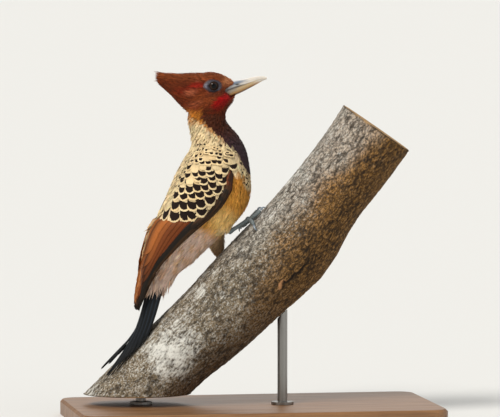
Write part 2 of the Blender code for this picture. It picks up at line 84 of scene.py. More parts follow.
# Fixed shades, beside those of the settings
TAN = paint(184, 116, 62)  # feathers between the folded wings
COVERT_BUFF = paint(232, 184, 116)
PALE_CHESTNUT = paint(200, 118, 54)
VANE_BROWN = paint(92, 62, 34)
RUST, DARK_RUST = paint(158, 78, 36), paint(96, 60, 30)
# Colour of the painted sheen on the tail.
TAIL_SHEEN_BLUE = paint(58, 74, 92)
# The third colour on the next line is painted shade under the lower half of the bill.
BILL_BUFF, BILL_GOLD, BILL_UNDERSIDE_SHADE = paint(206, 176, 132), paint(196, 136, 60), paint(74, 42, 26)
# The first colour on the next line is painted shade in the slit between the bill's halves and at its root.
# The last colour on the next line is painted shade in the nostril.
BILL_SLIT_SHADE, BILL_TIP, NOSTRIL_SHADE = paint(46, 38, 38), paint(240, 226, 204), paint(38, 34, 36)
# The third colour on the next line is a painted highlight on the lids' upper fold.
LID_EDGE, LID_POINT, LID_RIDGE_HIGHLIGHT = paint(28, 24, 28), paint(150, 148, 166), paint(128, 122, 138)
LID_RIM, LID_WORN = paint(92, 58, 46), paint(50, 42, 48)
PUPIL, EYE_RIM = (0.003, 0.003, 0.004), (0.012, 0.009, 0.009)
BARK_DUST = (0.46, 0.42, 0.35)
# The first colour on the next line is the golden tone of the branch's painted shade.
BARK_SHADE_GOLD, BARE_WOOD = paint(208, 148, 66), paint(206, 150, 104)


# ---------------------------------------------------------------- settings

def colour_setting(name, description, red, green, blue):
    return FloatVectorProperty(name=name, description=description, default=paint(red, green, blue),
                               size=3, subtype="COLOR", min=0, max=1)


def size_setting(name, description, default):
    return FloatProperty(name=name, description=description, default=default * MM,
                         unit="LENGTH", min=0, precision=5)


class WOODPECKER_PG_plumage(bpy.types.PropertyGroup):
    rufous: colour_setting("Rufous", "Head and crest", 128, 54, 22)
    crown: colour_setting("Crown", "Top of the head", 146, 74, 36)
    lores: colour_setting("Lores", "Golden brown between the bill and the eye", 232, 158, 104)
    crest_dark: colour_setting("Crest shade", "Lower layers of the crest", 100, 44, 20)
    malar: colour_setting("Malar", "Red patch of a male's cheek", 176, 14, 14)
    temple: colour_setting("Temple", "Reddish patch behind the eye", 156, 34, 18)
    ear: colour_setting("Ear patch", "Pale rufous spot behind the cheek", 190, 104, 70)
    throat: colour_setting("Throat", "Chin and throat", 74, 32, 10)
    breast: colour_setting("Breast", "Dark bib", 64, 46, 52)
    nape: colour_setting("Nape", "Hind neck below the crest", 190, 116, 38)
    cream: colour_setting("Cream", "Mantle and wing coverts", 236, 212, 166)
    spot: colour_setting("Spot", "Bars and spots", 30, 18, 14)
    belly: colour_setting("Belly", "Golden underparts", 226, 160, 68)
    thigh: colour_setting("Thigh", "Pale leg feathers", 255, 212, 132)
    vent: colour_setting("Vent", "Soft feathers under the tail", 238, 208, 188)
    chestnut: colour_setting("Chestnut", "Inner flight feathers", 104, 46, 14)
    primary: colour_setting("Primary", "Outer flight feathers", 34, 26, 18)
    tail: colour_setting("Tail", "Tail feathers", 16, 18, 20)
    voxel: size_setting("Skin grid", "Cell of the skin's mesh", 1.1)
    grow: size_setting("Growth", "How far the solids swell before they are merged", 0.4)
    depth: size_setting("Coat depth", "Depth of the body's feathers over the skin", 1.5)
    seed: IntProperty(name="Seed", description="Start of the random draws", default=7)


class WOODPECKER_PG_head(bpy.types.PropertyGroup):
    ivory: colour_setting("Ivory", "Upper half of the bill", 218, 210, 198)
    slate: colour_setting("Slate", "Blue-grey streak at the bill's root", 96, 110, 130)
    horn: colour_setting("Horn", "Golden root of the lower half", 196, 160, 100)
    iris: colour_setting("Iris", "Ring round the pupil", 42, 27, 20)
    lid: colour_setting("Lid", "Bare skin round the eye", 54, 48, 58)
    eye_radius: size_setting("Eye radius", "Radius of the eyeball", 4.3)
    opening: size_setting("Eye opening", "Radius of the opening between the lids", 3.75)


class WOODPECKER_PG_feet(bpy.types.PropertyGroup):
    leg: colour_setting("Leg", "Scales of the shanks and toes", 112, 122, 124)
    groove: colour_setting("Groove", "Skin between the scales", 62, 66, 62)
    claw: colour_setting("Claw", "Horn of the claws", 134, 146, 158)


class WOODPECKER_PG_branch(bpy.types.PropertyGroup):
    bark: colour_setting("Bark", "Main colour of the bark", 138, 122, 98)
    crevice: colour_setting("Crevice", "Hollows of the bark", 40, 33, 27)
    lichen: colour_setting("Lichen", "Pale crust on the bark", 232, 230, 222)
    # This colour also tints the painted shade on the branch's lower-right side.
    warm: colour_setting("Warm bark", "Browner stretch near the upper end", 126, 88, 40)
    wood: colour_setting("Wood", "Sawn ends", 190, 152, 104)
    voxel: size_setting("Bark grid", "Cell of the bark's mesh", 1.2)
    relief: size_setting("Relief", "Depth of the bark's flakes", 0.9)


class WOODPECKER_PG_stand(bpy.types.PropertyGroup):
    oak: colour_setting("Oak", "Main colour of the base", 150, 108, 68)
    grain: colour_setting("Grain", "Dark grain of the base", 96, 64, 38)
    steel: colour_setting("Steel", "Rods", 150, 148, 144)


class WOODPECKER_PG_stage(bpy.types.PropertyGroup):
    floor: colour_setting("Floor", "Studio floor and surround", 226, 226, 224)
    lens: FloatProperty(name="Lens", description="Focal length in millimetres", default=319.0, min=1)
    distance: FloatProperty(name="Distance", description="From the camera to its target",
                            default=3.5, unit="LENGTH")
    azimuth: FloatProperty(name="Azimuth", description="Turn of the camera about the model",
                           default=math.radians(-10), unit="ROTATION")
    elevation: FloatProperty(name="Elevation", description="Height of the camera as an angle",
                             default=math.radians(3.5), unit="ROTATION")


# ---------------------------------------------------------------- nodes

class Wire:
    """One output of a node, which can stand in an arithmetic expression."""

    def __init__(self, net, socket):
        self.net = net
        self.socket = socket

    def out(self, name):
        """Another output of the same node."""
        return Wire(self.net, self.socket.node.outputs[name])

    def __add__(self, other):
        return self.net.maths("ADD", self, other)

    def __radd__(self, other):
        return self.net.maths("ADD", other, self)

    def __sub__(self, other):
        return self.net.maths("SUBTRACT", self, other)

    def __rsub__(self, other):
        return self.net.maths("SUBTRACT", other, self)

    def __mul__(self, other):
        return self.net.maths("MULTIPLY", self, other)

    def __rmul__(self, other):
        return self.net.maths("MULTIPLY", other, self)

    def __truediv__(self, other):
        return self.net.maths("DIVIDE", self, other)

    def __rtruediv__(self, other):
        return self.net.maths("DIVIDE", other, self)

    def __pow__(self, other):
        return self.net.maths("POWER", self, other)


class Net:
    """Writes the nodes of one tree."""

    def __init__(self, tree):
        self.tree = tree

    def node(self, kind, settings=None, values=None, out=0):
        """Adds a node, applies its settings, fills its sockets and gives back one output."""
        made = self.tree.nodes.new(kind)
        for name, value in (settings or {}).items():
            if name == "stops":
                ramp = made.color_ramp
                while len(ramp.elements) < len(value):
                    ramp.elements.new(1.0)
                for stop, (place, colour) in zip(ramp.elements, value):
                    stop.position = place
                    stop.color = (*colour, 1.0)
            else:
                setattr(made, name, value)
        for key, value in (values or {}).items():
            if isinstance(value, Wire):
                self.tree.links.new(value.socket, made.inputs[key])
            else:
                made.inputs[key].default_value = value
        return Wire(self, made.outputs[out]) if len(made.outputs) else None

    def maths(self, operation, *values):
        return self.node("ShaderNodeMath", {"operation": operation}, dict(enumerate(values)))

    def vector(self, operation, *values, out=0):
        return self.node("ShaderNodeVectorMath", {"operation": operation}, dict(enumerate(values)), out)

    def scaled(self, vector, factor):
        return self.node("ShaderNodeVectorMath", {"operation": "SCALE"}, {0: vector, "Scale": factor})

    def parts(self, vector):
        """The three numbers of a vector."""
        split = self.node("ShaderNodeSeparateXYZ", None, {0: vector})
        return split, split.out("Y"), split.out("Z")

    def whole(self, x, y, z):
        return self.node("ShaderNodeCombineXYZ", None, {0: x, 1: y, 2: z})

    def rise(self, value, low, high):
        """0 below low, 1 above high, and a soft step between them."""
        return self.node("ShaderNodeMapRange", {"interpolation_type": "SMOOTHSTEP"},
                         {"Value": value, "From Min": low, "From Max": high})

    def blend(self, factor, first, second, way="MIX"):
        """Mixes two colours."""
        first, second = (c if isinstance(c, Wire) else (*tuple(c)[:3], 1.0) for c in (first, second))
        return self.node("ShaderNodeMix", {"data_type": "RGBA", "blend_type": way},
                         {0: factor, 6: first, 7: second}, out=2)

    def dimmed(self, colour, share):
        """A colour times a number."""
        return self.blend(1.0, colour, self.whole(share, share, share), "MULTIPLY")

    def apart(self, first, second, weight=1.0):
        """Distance from two offsets, with a weight on the first one's square."""
        return self.maths("SQRT", first * first * weight + second * second)

    def read(self, name, kind="FLOAT_VECTOR"):
        """An attribute of the geometry."""
        return self.node("GeometryNodeInputNamedAttribute", {"data_type": kind}, {"Name": name})

    def stored(self, geometry, name, value, kind="FLOAT", domain="POINT"):
        return self.node("GeometryNodeStoreNamedAttribute", {"data_type": kind, "domain": domain},
                         {"Geometry": geometry, "Name": name, "Value": value})

    def moved(self, geometry, offset):
        return self.node("GeometryNodeSetPosition", None, {"Geometry": geometry, "Offset": offset})

    def noise(self, place, size, detail=3.0, rough=0.55, out=0):
        """Cloudy noise whose features are about size millimetres across."""
        return self.node("ShaderNodeTexNoise", None,
                         {"Vector": place, "Scale": 1 / (size * MM), "Detail": detail,
                          "Roughness": rough}, out)

    def cells(self, place, size, feature="F1", out="Distance", jitter=1.0):
        """Cells about size millimetres across."""
        return self.node("ShaderNodeTexVoronoi", {"feature": feature},
                         {"Vector": place, "Scale": 1 / (size * MM), "Randomness": jitter}, out)


def geometry_tree(name, inputs):
    """A Geometry Nodes tree with inputs of (name, kind, default): the tree, its net and its inputs."""
    tree = bpy.data.node_groups.new(name, "GeometryNodeTree")
    tree.interface.new_socket("Geometry", in_out="INPUT", socket_type="NodeSocketGeometry")
    for label, kind, default in inputs:
        socket = tree.interface.new_socket(label, in_out="INPUT", socket_type=f"NodeSocket{kind}")
        if default is not None:
            socket.default_value = default
    tree.interface.new_socket("Geometry", in_out="OUTPUT", socket_type="NodeSocketGeometry")
    net = Net(tree)
    outputs = net.node("NodeGroupInput").socket.node.outputs
    return tree, net, {socket.name: Wire(net, socket) for socket in outputs}


class Finish(Net):
    """A material that is being written round its Principled shader."""

    def __init__(self, name, roughness, **constants):
        self.material = bpy.data.materials.new(name)
        self.material.use_nodes = True
        super().__init__(self.material.node_tree)
        self.shader = self.tree.nodes["Principled BSDF"]
        self.shader.inputs["Roughness"].default_value = roughness
        for socket, value in constants.items():
            self.shader.inputs[socket.replace("_", " ")].default_value = value

    def place(self):
        """Position on the object, in metres."""
        return self.node("ShaderNodeTexCoord", out="Object")

    def attribute(self, name, out="Fac"):
        return self.node("ShaderNodeAttribute", {"attribute_name": name}, None, out)

    def feed(self, socket, wire):
        self.tree.links.new(wire.socket, self.shader.inputs[socket])

    def bump(self, height, depth, strength=1.0):
        """Relief of the given depth in millimetres."""
        self.feed("Normal", self.node("ShaderNodeBump", None, {
            "Height": height, "Distance": depth * MM, "Strength": strength}, "Normal"))


# ---------------------------------------------------------------- numbers and meshes

def unit(vectors):
    vectors = np.asarray(vectors, float)
    return vectors / np.maximum(np.linalg.norm(vectors, axis=-1, keepdims=True), 1e-9)


def soft_step(values, low, high):
    """0 below low, 1 above high, and a soft step between them."""
    u = np.clip((np.asarray(values, float) - low) / (high - low), 0, 1)
    return u * u * (3 - 2 * u)


def patch(x, z, centre, radii, turn=0.0, edge=0.35):
    """1 inside an ellipse of the side view, falling to 0 over the edge share outside it."""
    c, s = math.cos(math.radians(turn)), math.sin(math.radians(turn))
    along = ((x - centre[0]) * c + (z - centre[1]) * s) / radii[0]
    across = (-(x - centre[0]) * s + (z - centre[1]) * c) / radii[1]
    return 1 - soft_step(np.hypot(along, across), 1 - edge, 1 + edge)


def toward(first, second, share):
    """Values the given share of the way from the first to the second."""
    return first + (np.asarray(second) - first) * share


def edge_at(line, z):
    """Where a (z, x) line of the side view lies at a height."""
    return np.interp(z, *np.array(line).T)


def mottle(points, size, seed):
    """Smooth noise of about -1 to 1 at points, with features of about size millimetres."""
    rng = np.random.default_rng(seed)
    total = np.zeros(len(points))
    for _ in range(5):
        wave = unit(rng.normal(size=3)) * rng.uniform(0.6, 1.5) * 2 * math.pi / size
        total += np.sin(points @ wave + rng.uniform(0, 2 * math.pi))
    return total / 2.6


def curve(rows, at):
    """Catmull-Rom values of evenly spaced rows at fractional row numbers."""
    rows = np.asarray(rows, float)
    at = np.asarray(at, float)
    last = len(rows) - 1
    row = np.clip(at.astype(int), 0, last - 1)
    u = (at - row)[..., None]
    a, b, c, d = (rows[np.clip(row + k, 0, last)] for k in (-1, 0, 1, 2))
    return 0.5 * (2 * b + (c - a) * u + (2 * a - 5 * b + 4 * c - d) * u**2
                  + (3 * b - a - 3 * c + d) * u**3)


def arrays(mesh):
    """Vertices in millimetres and triangles."""
    mesh.calc_loop_triangles()
    points = np.empty(len(mesh.vertices) * 3, np.float32)
    mesh.vertices.foreach_get("co", points)
    triangles = np.empty(len(mesh.loop_triangles) * 3, np.int32)
    mesh.loop_triangles.foreach_get("vertices", triangles)
    return points.reshape(-1, 3).astype(float) / MM, triangles.reshape(-1, 3)


def new_object(name, mesh, material=None):
    made = bpy.data.objects.new(name, mesh)
    bpy.context.scene.collection.objects.link(made)
    if material:
        mesh.materials.append(material)
    return made


def dress(made, material):
    """Gives an object one material in place of those it has."""
    made.data.materials.clear()
    made.data.materials.append(material)


def mesh_of(name, points, faces):
    """A smooth mesh from points in millimetres and faces."""
    mesh = bpy.data.meshes.new(name)
    mesh.from_pydata((np.asarray(points) * MM).tolist(), [], np.asarray(faces).tolist()
                     if isinstance(faces, np.ndarray) else faces)
    mesh.shade_smooth()
    return mesh


def ring_faces(rows, columns):
    """Quads between rows of points that each close into a ring."""
    return [(a + k, a + (k + 1) % columns, a + columns + (k + 1) % columns, a + columns + k)
            for a in range(0, (rows - 1) * columns, columns) for k in range(columns)]


def oriented(mesh):
    """Turns every face of a closed mesh outwards."""
    shape = bmesh.new()
    shape.from_mesh(mesh)
    bmesh.ops.recalc_face_normals(shape, faces=shape.faces)
    shape.to_mesh(mesh)
    shape.free()
    mesh.shade_smooth()
    return mesh


def merged_copy(name, nodes, grow=0.0):
    """The named solids as one mesh with shared vertices, each swollen by grow millimetres."""
    whole = bmesh.new()
    for node in nodes:
        part = bmesh.new()
        part.from_mesh(NODES[node].data)
        bmesh.ops.remove_doubles(part, verts=part.verts, dist=1e-6)
        part.normal_update()
        steps = [point.normal * grow * MM for point in part.verts]
        for point, step in zip(part.verts, steps):
            point.co += step
        mesh = bpy.data.meshes.new("part")
        part.to_mesh(mesh)
        part.free()
        whole.from_mesh(mesh)
        bpy.data.meshes.remove(mesh)
    made = bpy.data.meshes.new(name)
    whole.to_mesh(made)
    whole.free()
    return made


def points_of(nodes):
    """Points of the named solids, in millimetres."""
    mesh = merged_copy("solids", nodes)
    points = arrays(mesh)[0]
    bpy.data.meshes.remove(mesh)
    return points


def applied(made):
    """Turns an object's evaluated shape into its plain mesh and drops its modifiers."""
    graph = bpy.context.evaluated_depsgraph_get()
    graph.update()
    mesh = bpy.data.meshes.new_from_object(made.evaluated_get(graph), depsgraph=graph)
    made.modifiers.clear()
    old = made.data
    made.data = mesh
    bpy.data.meshes.remove(old)
    mesh.name = made.name
    return made


def remeshed(made, voxel, shells_kept=1):
    """Merges what overlaps into skins of even quads and keeps the largest of them."""
    remesh = made.modifiers.new("Remesh", "REMESH")
    remesh.mode = "VOXEL"
    remesh.voxel_size = voxel
    remesh.use_smooth_shade = True
    applied(made)
    shape = bmesh.new()
    shape.from_mesh(made.data)
    left, shells = set(shape.verts), []
    while left:
        shell, queue = set(), [next(iter(left))]
        while queue:
            point = queue.pop()
            if point in shell:
                continue
            shell.add(point)
            queue.extend(edge.other_vert(point) for edge in point.link_edges)
        left -= shell
        shells.append(shell)
    kept = set().union(*sorted(shells, key=len)[-shells_kept:])
    bmesh.ops.delete(shape, geom=[p for p in shape.verts if p not in kept], context="VERTS")
    shape.to_mesh(made.data)
    shape.free()
    made.data.shade_smooth()
    return made


def relaxed(points, edges, rounds, strength=0.5):
    """Evens out a mesh by moving each point towards the middle of its neighbours."""
    count = np.maximum(np.bincount(edges.ravel(), minlength=len(points)), 1)[:, None]
    for _ in range(rounds):
        total = np.zeros_like(points)
        for axis in range(3):
            total[:, axis] = (np.bincount(edges[:, 0], points[edges[:, 1], axis], len(points))
                              + np.bincount(edges[:, 1], points[edges[:, 0], axis], len(points)))
        points = points + (total / count - points) * strength
    return points


def edges_of(mesh):
    edges = np.empty(len(mesh.edges) * 2, np.int32)
    mesh.edges.foreach_get("vertices", edges)
    return edges.reshape(-1, 2)


def set_points(mesh, points):
    mesh.vertices.foreach_set("co", (points * MM).astype(np.float32).ravel())
    mesh.update()


def store(mesh, name, values, kind="FLOAT", domain="POINT"):
    """Writes an attribute of numbers, vectors or colours."""
    values = np.asarray(values, np.float32)
    if kind == "FLOAT_COLOR":
        values = np.hstack([values, np.ones((len(values), 1), np.float32)])
    key = {"FLOAT": "value", "FLOAT_VECTOR": "vector", "FLOAT2": "vector", "FLOAT_COLOR": "color"}[kind]
    made = mesh.attributes.new(name, kind, domain)
    made.data.foreach_set(key, values.ravel())


class Surface:
    """A mesh that can be asked for its nearest point, its normals and what a ray meets."""

    def __init__(self, mesh, points=None):
        found, self.triangles = arrays(mesh)
        self.points = found if points is None else points
        self.tree = BVHTree.FromPolygons(self.points.tolist(), self.triangles.tolist())
        a, b, c = (self.points[self.triangles[:, k]] for k in range(3))
        cross = np.cross(b - a, c - a)
        self.areas = np.linalg.norm(cross, axis=1) / 2
        normals = np.zeros_like(self.points)
        for k in range(3):
            np.add.at(normals, self.triangles[:, k], cross)
        self.normals = unit(normals)
        self.centres = (a + b + c) / 3

    def weights(self, places, faces):
        """Barycentric weights of places on the given triangles."""
        a, b, c = (self.points[self.triangles[faces, k]] for k in range(3))
        v0, v1, v2 = b - a, c - a, places - a
        d00, d01, d11 = ((v0 * v0).sum(1), (v0 * v1).sum(1), (v1 * v1).sum(1))
        d20, d21 = (v2 * v0).sum(1), (v2 * v1).sum(1)
        base = np.maximum(d00 * d11 - d01 * d01, 1e-12)
        v, w = (d11 * d20 - d01 * d21) / base, (d00 * d21 - d01 * d20) / base
        return np.clip(np.stack([1 - v - w, v, w], 1), 0, 1)

    def mixed(self, values, faces, weights):
        """Values of vertices at places on triangles."""
        return (values[self.triangles[faces]] * weights[:, :, None]).sum(1)

    def nearest(self, places):
        """Nearest points, smooth normals and triangle numbers."""
        found = [self.tree.find_nearest(place) for place in places.tolist()]
        spots = np.array([tuple(hit[0]) for hit in found])
        faces = np.array([hit[2] for hit in found])
        normals = unit(self.mixed(self.normals, faces, self.weights(spots, faces)))
        return spots, normals, faces

    def from_side(self, x, z, side):
        """Width at which a level ray from one side of the bird meets the surface, or nan."""
        toward = Vector((0, -side, 0))
        found = [self.tree.ray_cast(Vector((a, side * 90.0, b)), toward)[0] for a, b in zip(x, z)]
        return np.array([hit[1] if hit else np.nan for hit in found])


# ---------------------------------------------------------------- plumage

# Rear edge of the dark bib and lower edge of the folded wing, as (z, x) of the side view
BIB_EDGE = ((193.5, -1.0), (196.0, -6.0), (204.8, -12.0), (211.7, -15.0), (215.4, -18.6),
            (218.6, -25.0), (223.7, -26.0), (226.0, -30.0), (232.0, -36.1), (238.3, -42.5),
            (243.0, -42.0), (248.0, -40.0))
WING_EDGE_LINE = ((118.6, -79.2), (129.3, -70.5), (142.5, -58.4), (154.7, -47.8), (164.5, -39.3),
                  (179.2, -29.6), (191.3, -23.5), (204.4, -17.5), (215.0, -14.0))
EYE_CENTRE = (-32.6, 8.7, 264.2)
HEAD_LOW = 243  # height at which the head's small feathers end
FACE_BACK = -39  # x at which the face ends and the cheek begins
BREAST_LOW = 193.5  # height of the dark bib's lower end
VENT_LINE = 152  # slanting height at which the belly ends

# Lie of the coat: place (x, z) on the side view and direction (x, z)
LIE = (
    ((-14, 263), (-0.95, 0.3)), ((-20, 271), (-0.88, 0.47)), ((-30, 276), (-1.0, 0.08)),
    ((-45, 275), (-1.0, 0.0)), ((-60, 274), (-1.0, 0.0)), ((-72, 272), (-1.0, 0.06)),
    ((-44, 264), (-1.0, 0.04)), ((-54, 264), (-0.98, 0.2)), ((-60, 260), (-0.9, 0.42)),
    ((-48, 254), (-0.97, 0.2)), ((-56, 250), (-0.85, 0.52)), ((-36, 251), (-0.95, -0.3)),
    ((-26, 262), (-0.97, -0.1)), ((-24, 252), (-0.8, -0.6)), ((-14, 257), (-0.88, -0.45)),
    ((-22, 243), (-0.5, -0.86)), ((-36, 243), (-0.62, -0.78)), ((-48, 244), (-0.75, -0.66)),
    ((-20, 232), (-0.15, -1.0)), ((-36, 232), (-0.3, -0.95)), ((-50, 230), (-0.35, -0.94)),
    ((-10, 216), (0.25, -0.97)), ((-30, 215), (-0.3, -0.95)), ((-48, 212), (-0.45, -0.9)),
    ((-2, 195), (0.0, -1.0)), ((-60, 190), (-0.45, -0.9)), ((-5, 175), (-0.3, -0.95)),
    ((-20, 180), (-0.3, -0.95)), ((-20, 158), (-0.72, -0.7)), ((-35, 165), (-0.5, -0.87)),
    ((-70, 165), (-0.4, -0.92)), ((-72, 157), (-0.75, -0.66)), ((-45, 135), (-0.68, -0.73)),
    ((-35, 145), (-0.6, -0.8)), ((-65, 115), (-0.7, -0.7)), ((-80, 110), (-0.35, -0.94)),
    ((-78, 140), (-0.25, -0.97)),
)


def slanting(x, z, slope=0.5):
    """Height along a line that falls towards the breast."""
    return z + slope * (x + 45)


def lie_at(points, normals):
    """Direction in which feathers lie at surface points."""
    places = np.array([guide[0] for guide in LIE], float)
    directions = np.array([guide[1] for guide in LIE], float)
    gaps = ((points[:, None, [0, 2]] - places[None]) ** 2).sum(2)
    shares = 1 / (gaps + 9.0) ** 1.6
    flow = (shares[:, :, None] * directions[None]).sum(1) / shares.sum(1, keepdims=True)
    flow = np.stack([flow[:, 0], np.zeros(len(flow)), flow[:, 1]], 1)
    flow[:, 1] = 0.12 * np.sign(points[:, 1]) * soft_step(points[:, 2], 120, 200)
    flow -= normals * (flow * normals).sum(1, keepdims=True)
    return unit(flow)


class Zones:
    """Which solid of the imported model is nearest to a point."""

    def __init__(self):
        points, triangles, self.owners, shift = [], [], [], 0
        for number, name in enumerate(FLESH):
            some, faces = arrays(NODES[name].data)
            points.append(some)
            triangles.append(faces + shift)
            self.owners += [number] * len(faces)
            shift += len(some)
        self.tree = BVHTree.FromPolygons(np.vstack(points).tolist(), np.vstack(triangles).tolist())
        self.owners = np.array(self.owners)

    def at(self, points):
        hits = [self.tree.find_nearest(point)[2] for point in points.tolist()]
        return np.array(FLESH)[self.owners[hits]]


# Small patches of the face: colour, strength, and the patch's centre, radii, turn and edge
FACE_PATCHES = (
    ("crown", 0.45, (-40, 254), (9, 5), 0, 0.5), ("crest_dark", 0.55, (-30, 258), (10, 1.6), 12),
    ("temple", 0.95, (-45.5, 264.6), (5.0, 2.2), 8, 0.5),
    ("temple", 0.35, (-53.5, 260.5), (7.5, 3.4), 12, 0.5),
    ("ear", 0.85, (-50.4, 258.8), (4.4, 2.4), 25, 0.5), ("ear", 0.35, (-47, 250), (5, 2.4), 20, 0.5),
)


def feather_colours(points, zones):
    """Colour of the coat at points, and how strongly it is barred there."""
    look = bpy.context.scene.woodpecker_plumage
    x, y, z = points.T
    colour = np.tile(np.array(look.rufous), (len(points), 1))
    bars = np.zeros(len(points))

    def lay(new, mask):
        colour[:] += (np.asarray(new)[:3] - colour) * mask[:, None]

    streak = mottle(points * (0.25, 1, 1), 3.2, 1)
    cloud = mottle(points, 9.0, 2)
    wing = np.char.startswith(zones, "wing")
    crest = soft_step(-x, 38, 54) * soft_step(z, 243, 250)
    lay(look.crown, soft_step(z, 266, 272))
    lay(look.lores, 0.8 * patch(x, z, (-17, 268), (8, 5.5), 20, 0.6)
        * (0.35 + 0.65 * soft_step(streak, -0.2, 0.8)))
    lay(look.crest_dark, crest * (0.30 + 0.3 * cloud + 0.3 * streak).clip(0, 0.85))
    lay(look.crest_dark, 0.5 * patch(x, z, (-58, 263), (15, 3.5), 20) * crest)
    lay(look.crown, crest * soft_step(z, 268, 273) * 0.7)
    for name, strength, *where in FACE_PATCHES:
        lay(getattr(look, name), strength * patch(x, z, *where))
    lay(look.malar, patch(x + 1.2 * streak - 0.3, z, (-26.9, 251.2), (9.6, 4.3), 43, 0.4))
    lay(look.throat, 0.5 * patch(x, z, (-31, 245), (9, 2.2), 43, 0.6))

    bib_edge = edge_at(BIB_EDGE, z)
    behind = soft_step(bib_edge - x, -0.6, 1.2)
    slope = slanting(x, z, 0.22)
    low = 1 - soft_step(slope, 241.0, 246.5)
    lay(look.nape, low * behind)
    lay(look.throat, (1 - soft_step(slope + 3 * streak, 240.0, 254.0)) * (1 - behind))
    # The chin by the bill is darker: the throat's own dark brown together with painted shade under the bill.
    lay(look.throat, 0.55 * soft_step(x, -27, -18) * (1 - soft_step(z, 246, 257)))
    lay(look.breast, (1 - soft_step(z, 214, 234)) * (1 - behind))
    creamy = (1 - soft_step(slanting(x, z, 0.25) + 2.0 * streak, 232.0, 239.0)) * behind
    lay(look.cream, creamy)
    lay(look.nape, 0.8 * behind * np.exp(-((x - bib_edge + 1.8) / 2.4) ** 2)
        * patch(x, z, (-36, 232), (14, 14)))

    below = 1 - soft_step(z, 193.0, 195.5)
    wing_line = edge_at(WING_EDGE_LINE, z)
    under = soft_step(x - wing_line, -7, -3) * (~wing) * (1 - soft_step(z, 200, 205))
    lay(look.cream, below)
    lay(look.belly, under * below)
    lay(look.thigh, under * below * 0.8 * patch(x, z, (-24, 157), (15, 10), -30, 0.6))
    lay(look.thigh, under * below * 0.95 * patch(x, z, (-21, 150), (9, 7), -30, 0.6))
    lay(look.nape, under * below * 0.4 * soft_step(z, 178, 188))
    # Dark streaks along the belly's front edge: streak marks together with painted shade at the edge.
    lay(look.throat, under * below * 0.5 * soft_step(streak, 0.1, 0.8)
        * patch(x, z, (-6, 172), (8, 20), 8, 0.5))
    side_patch = patch(x, z, (-4.5, 190.5), (5.5, 8.0), 0, 0.3) * (~wing) * below
    lay(look.cream, side_patch * 0.9)
    bars = np.maximum(bars, side_patch * 1.7)
    bars = np.maximum(bars, 1.8 * behind * patch(x, z, (-7, 199), (6, 11), -15, 0.4))
    bars = np.maximum(bars, 1.5 * wing * soft_step(z, 172, 182) * (1 - soft_step(z, 214, 220)))
    soft = under * (1 - soft_step(slanting(x, z), 146, 158))
    lay(look.vent, soft)
    lay(look.belly, soft * 0.4 * soft_step(cloud, 0.1, 0.9))
    leg = np.char.startswith(zones, "thigh")
    # The far leg's colours are darkened on the lines below: painted shade.
    far_leg_shade = leg * (y > 0)
    lay(look.thigh, leg * 1.0)
    # The near leg is made creamier: painted highlight. The three lines after it darken the far leg: painted
    # shade.
    lay(look.cream, leg * 0.6 * (y < 0))
    lay(look.throat, far_leg_shade * 0.45)
    lay(look.vent, far_leg_shade * 0.35)
    lay(look.crest_dark, far_leg_shade * 0.35 * (1 - soft_step(z, 128, 140)))
    mantle = ((zones == "trunk") | (zones == "neck")) * (1 - under) * behind
    bars = np.maximum(bars, mantle * (1 - soft_step(z, 212, 228)) * 0.8)
    flight = np.char.endswith(zones, "flight") * (1 - soft_step(z, 160, 168))
    lay(look.chestnut, flight)
    lay(look.primary, flight * (1 - soft_step(z, 93, 104)))
    return colour, bars


def behind_bill(points):
    """Draws the skin in behind the bill, as far back as the bare gape, and into the eye sockets."""
    x, y, z = points.T
    bare = (soft_step(x - edge_at(GAPE, z), -1.0, 0.6)
            * soft_step(z - along_line(GONYS, x), 0, 0.6) * soft_step(along_line(CULMEN, x) - z, 0, 0.6))
    lip = along_line(TOMIUM, x)
    ridge = np.where(z > lip, along_line(CULMEN, x), along_line(GONYS, x))
    high = np.clip((z - lip) / (ridge - lip), 0, 1) ** 1.18
    limit = np.maximum(along_line(BILL_WIDTH, x) * (1 - high**2) ** 0.45 - 0.6, 0)
    drawn = points.copy()
    drawn[:, 1] += (np.sign(y) * np.minimum(np.abs(y), limit) - y) * bare
    y = drawn[:, 1]
    socket = 1 - soft_step(np.hypot(x - EYE_CENTRE[0], z - EYE_CENTRE[2]), 4.0, 6.0)
    drawn[:, 1] += (np.sign(y) * np.minimum(np.abs(y), EYE_CENTRE[1] + 0.4) - y) * socket
    chin = soft_step(x, -16.0, -12.5) * soft_step(z, 245, 250) * (z < along_line(TOMIUM, x))
    drawn[:, 2] += (np.maximum(z, along_line(GONYS, x) + 0.5) - z) * chin
    return drawn


CANDIDATES = 5.0  # places tried for every feather that its area has room for
ASTRAY = 0.7  # least share of a feather's direction that keeps to the lie of the coat


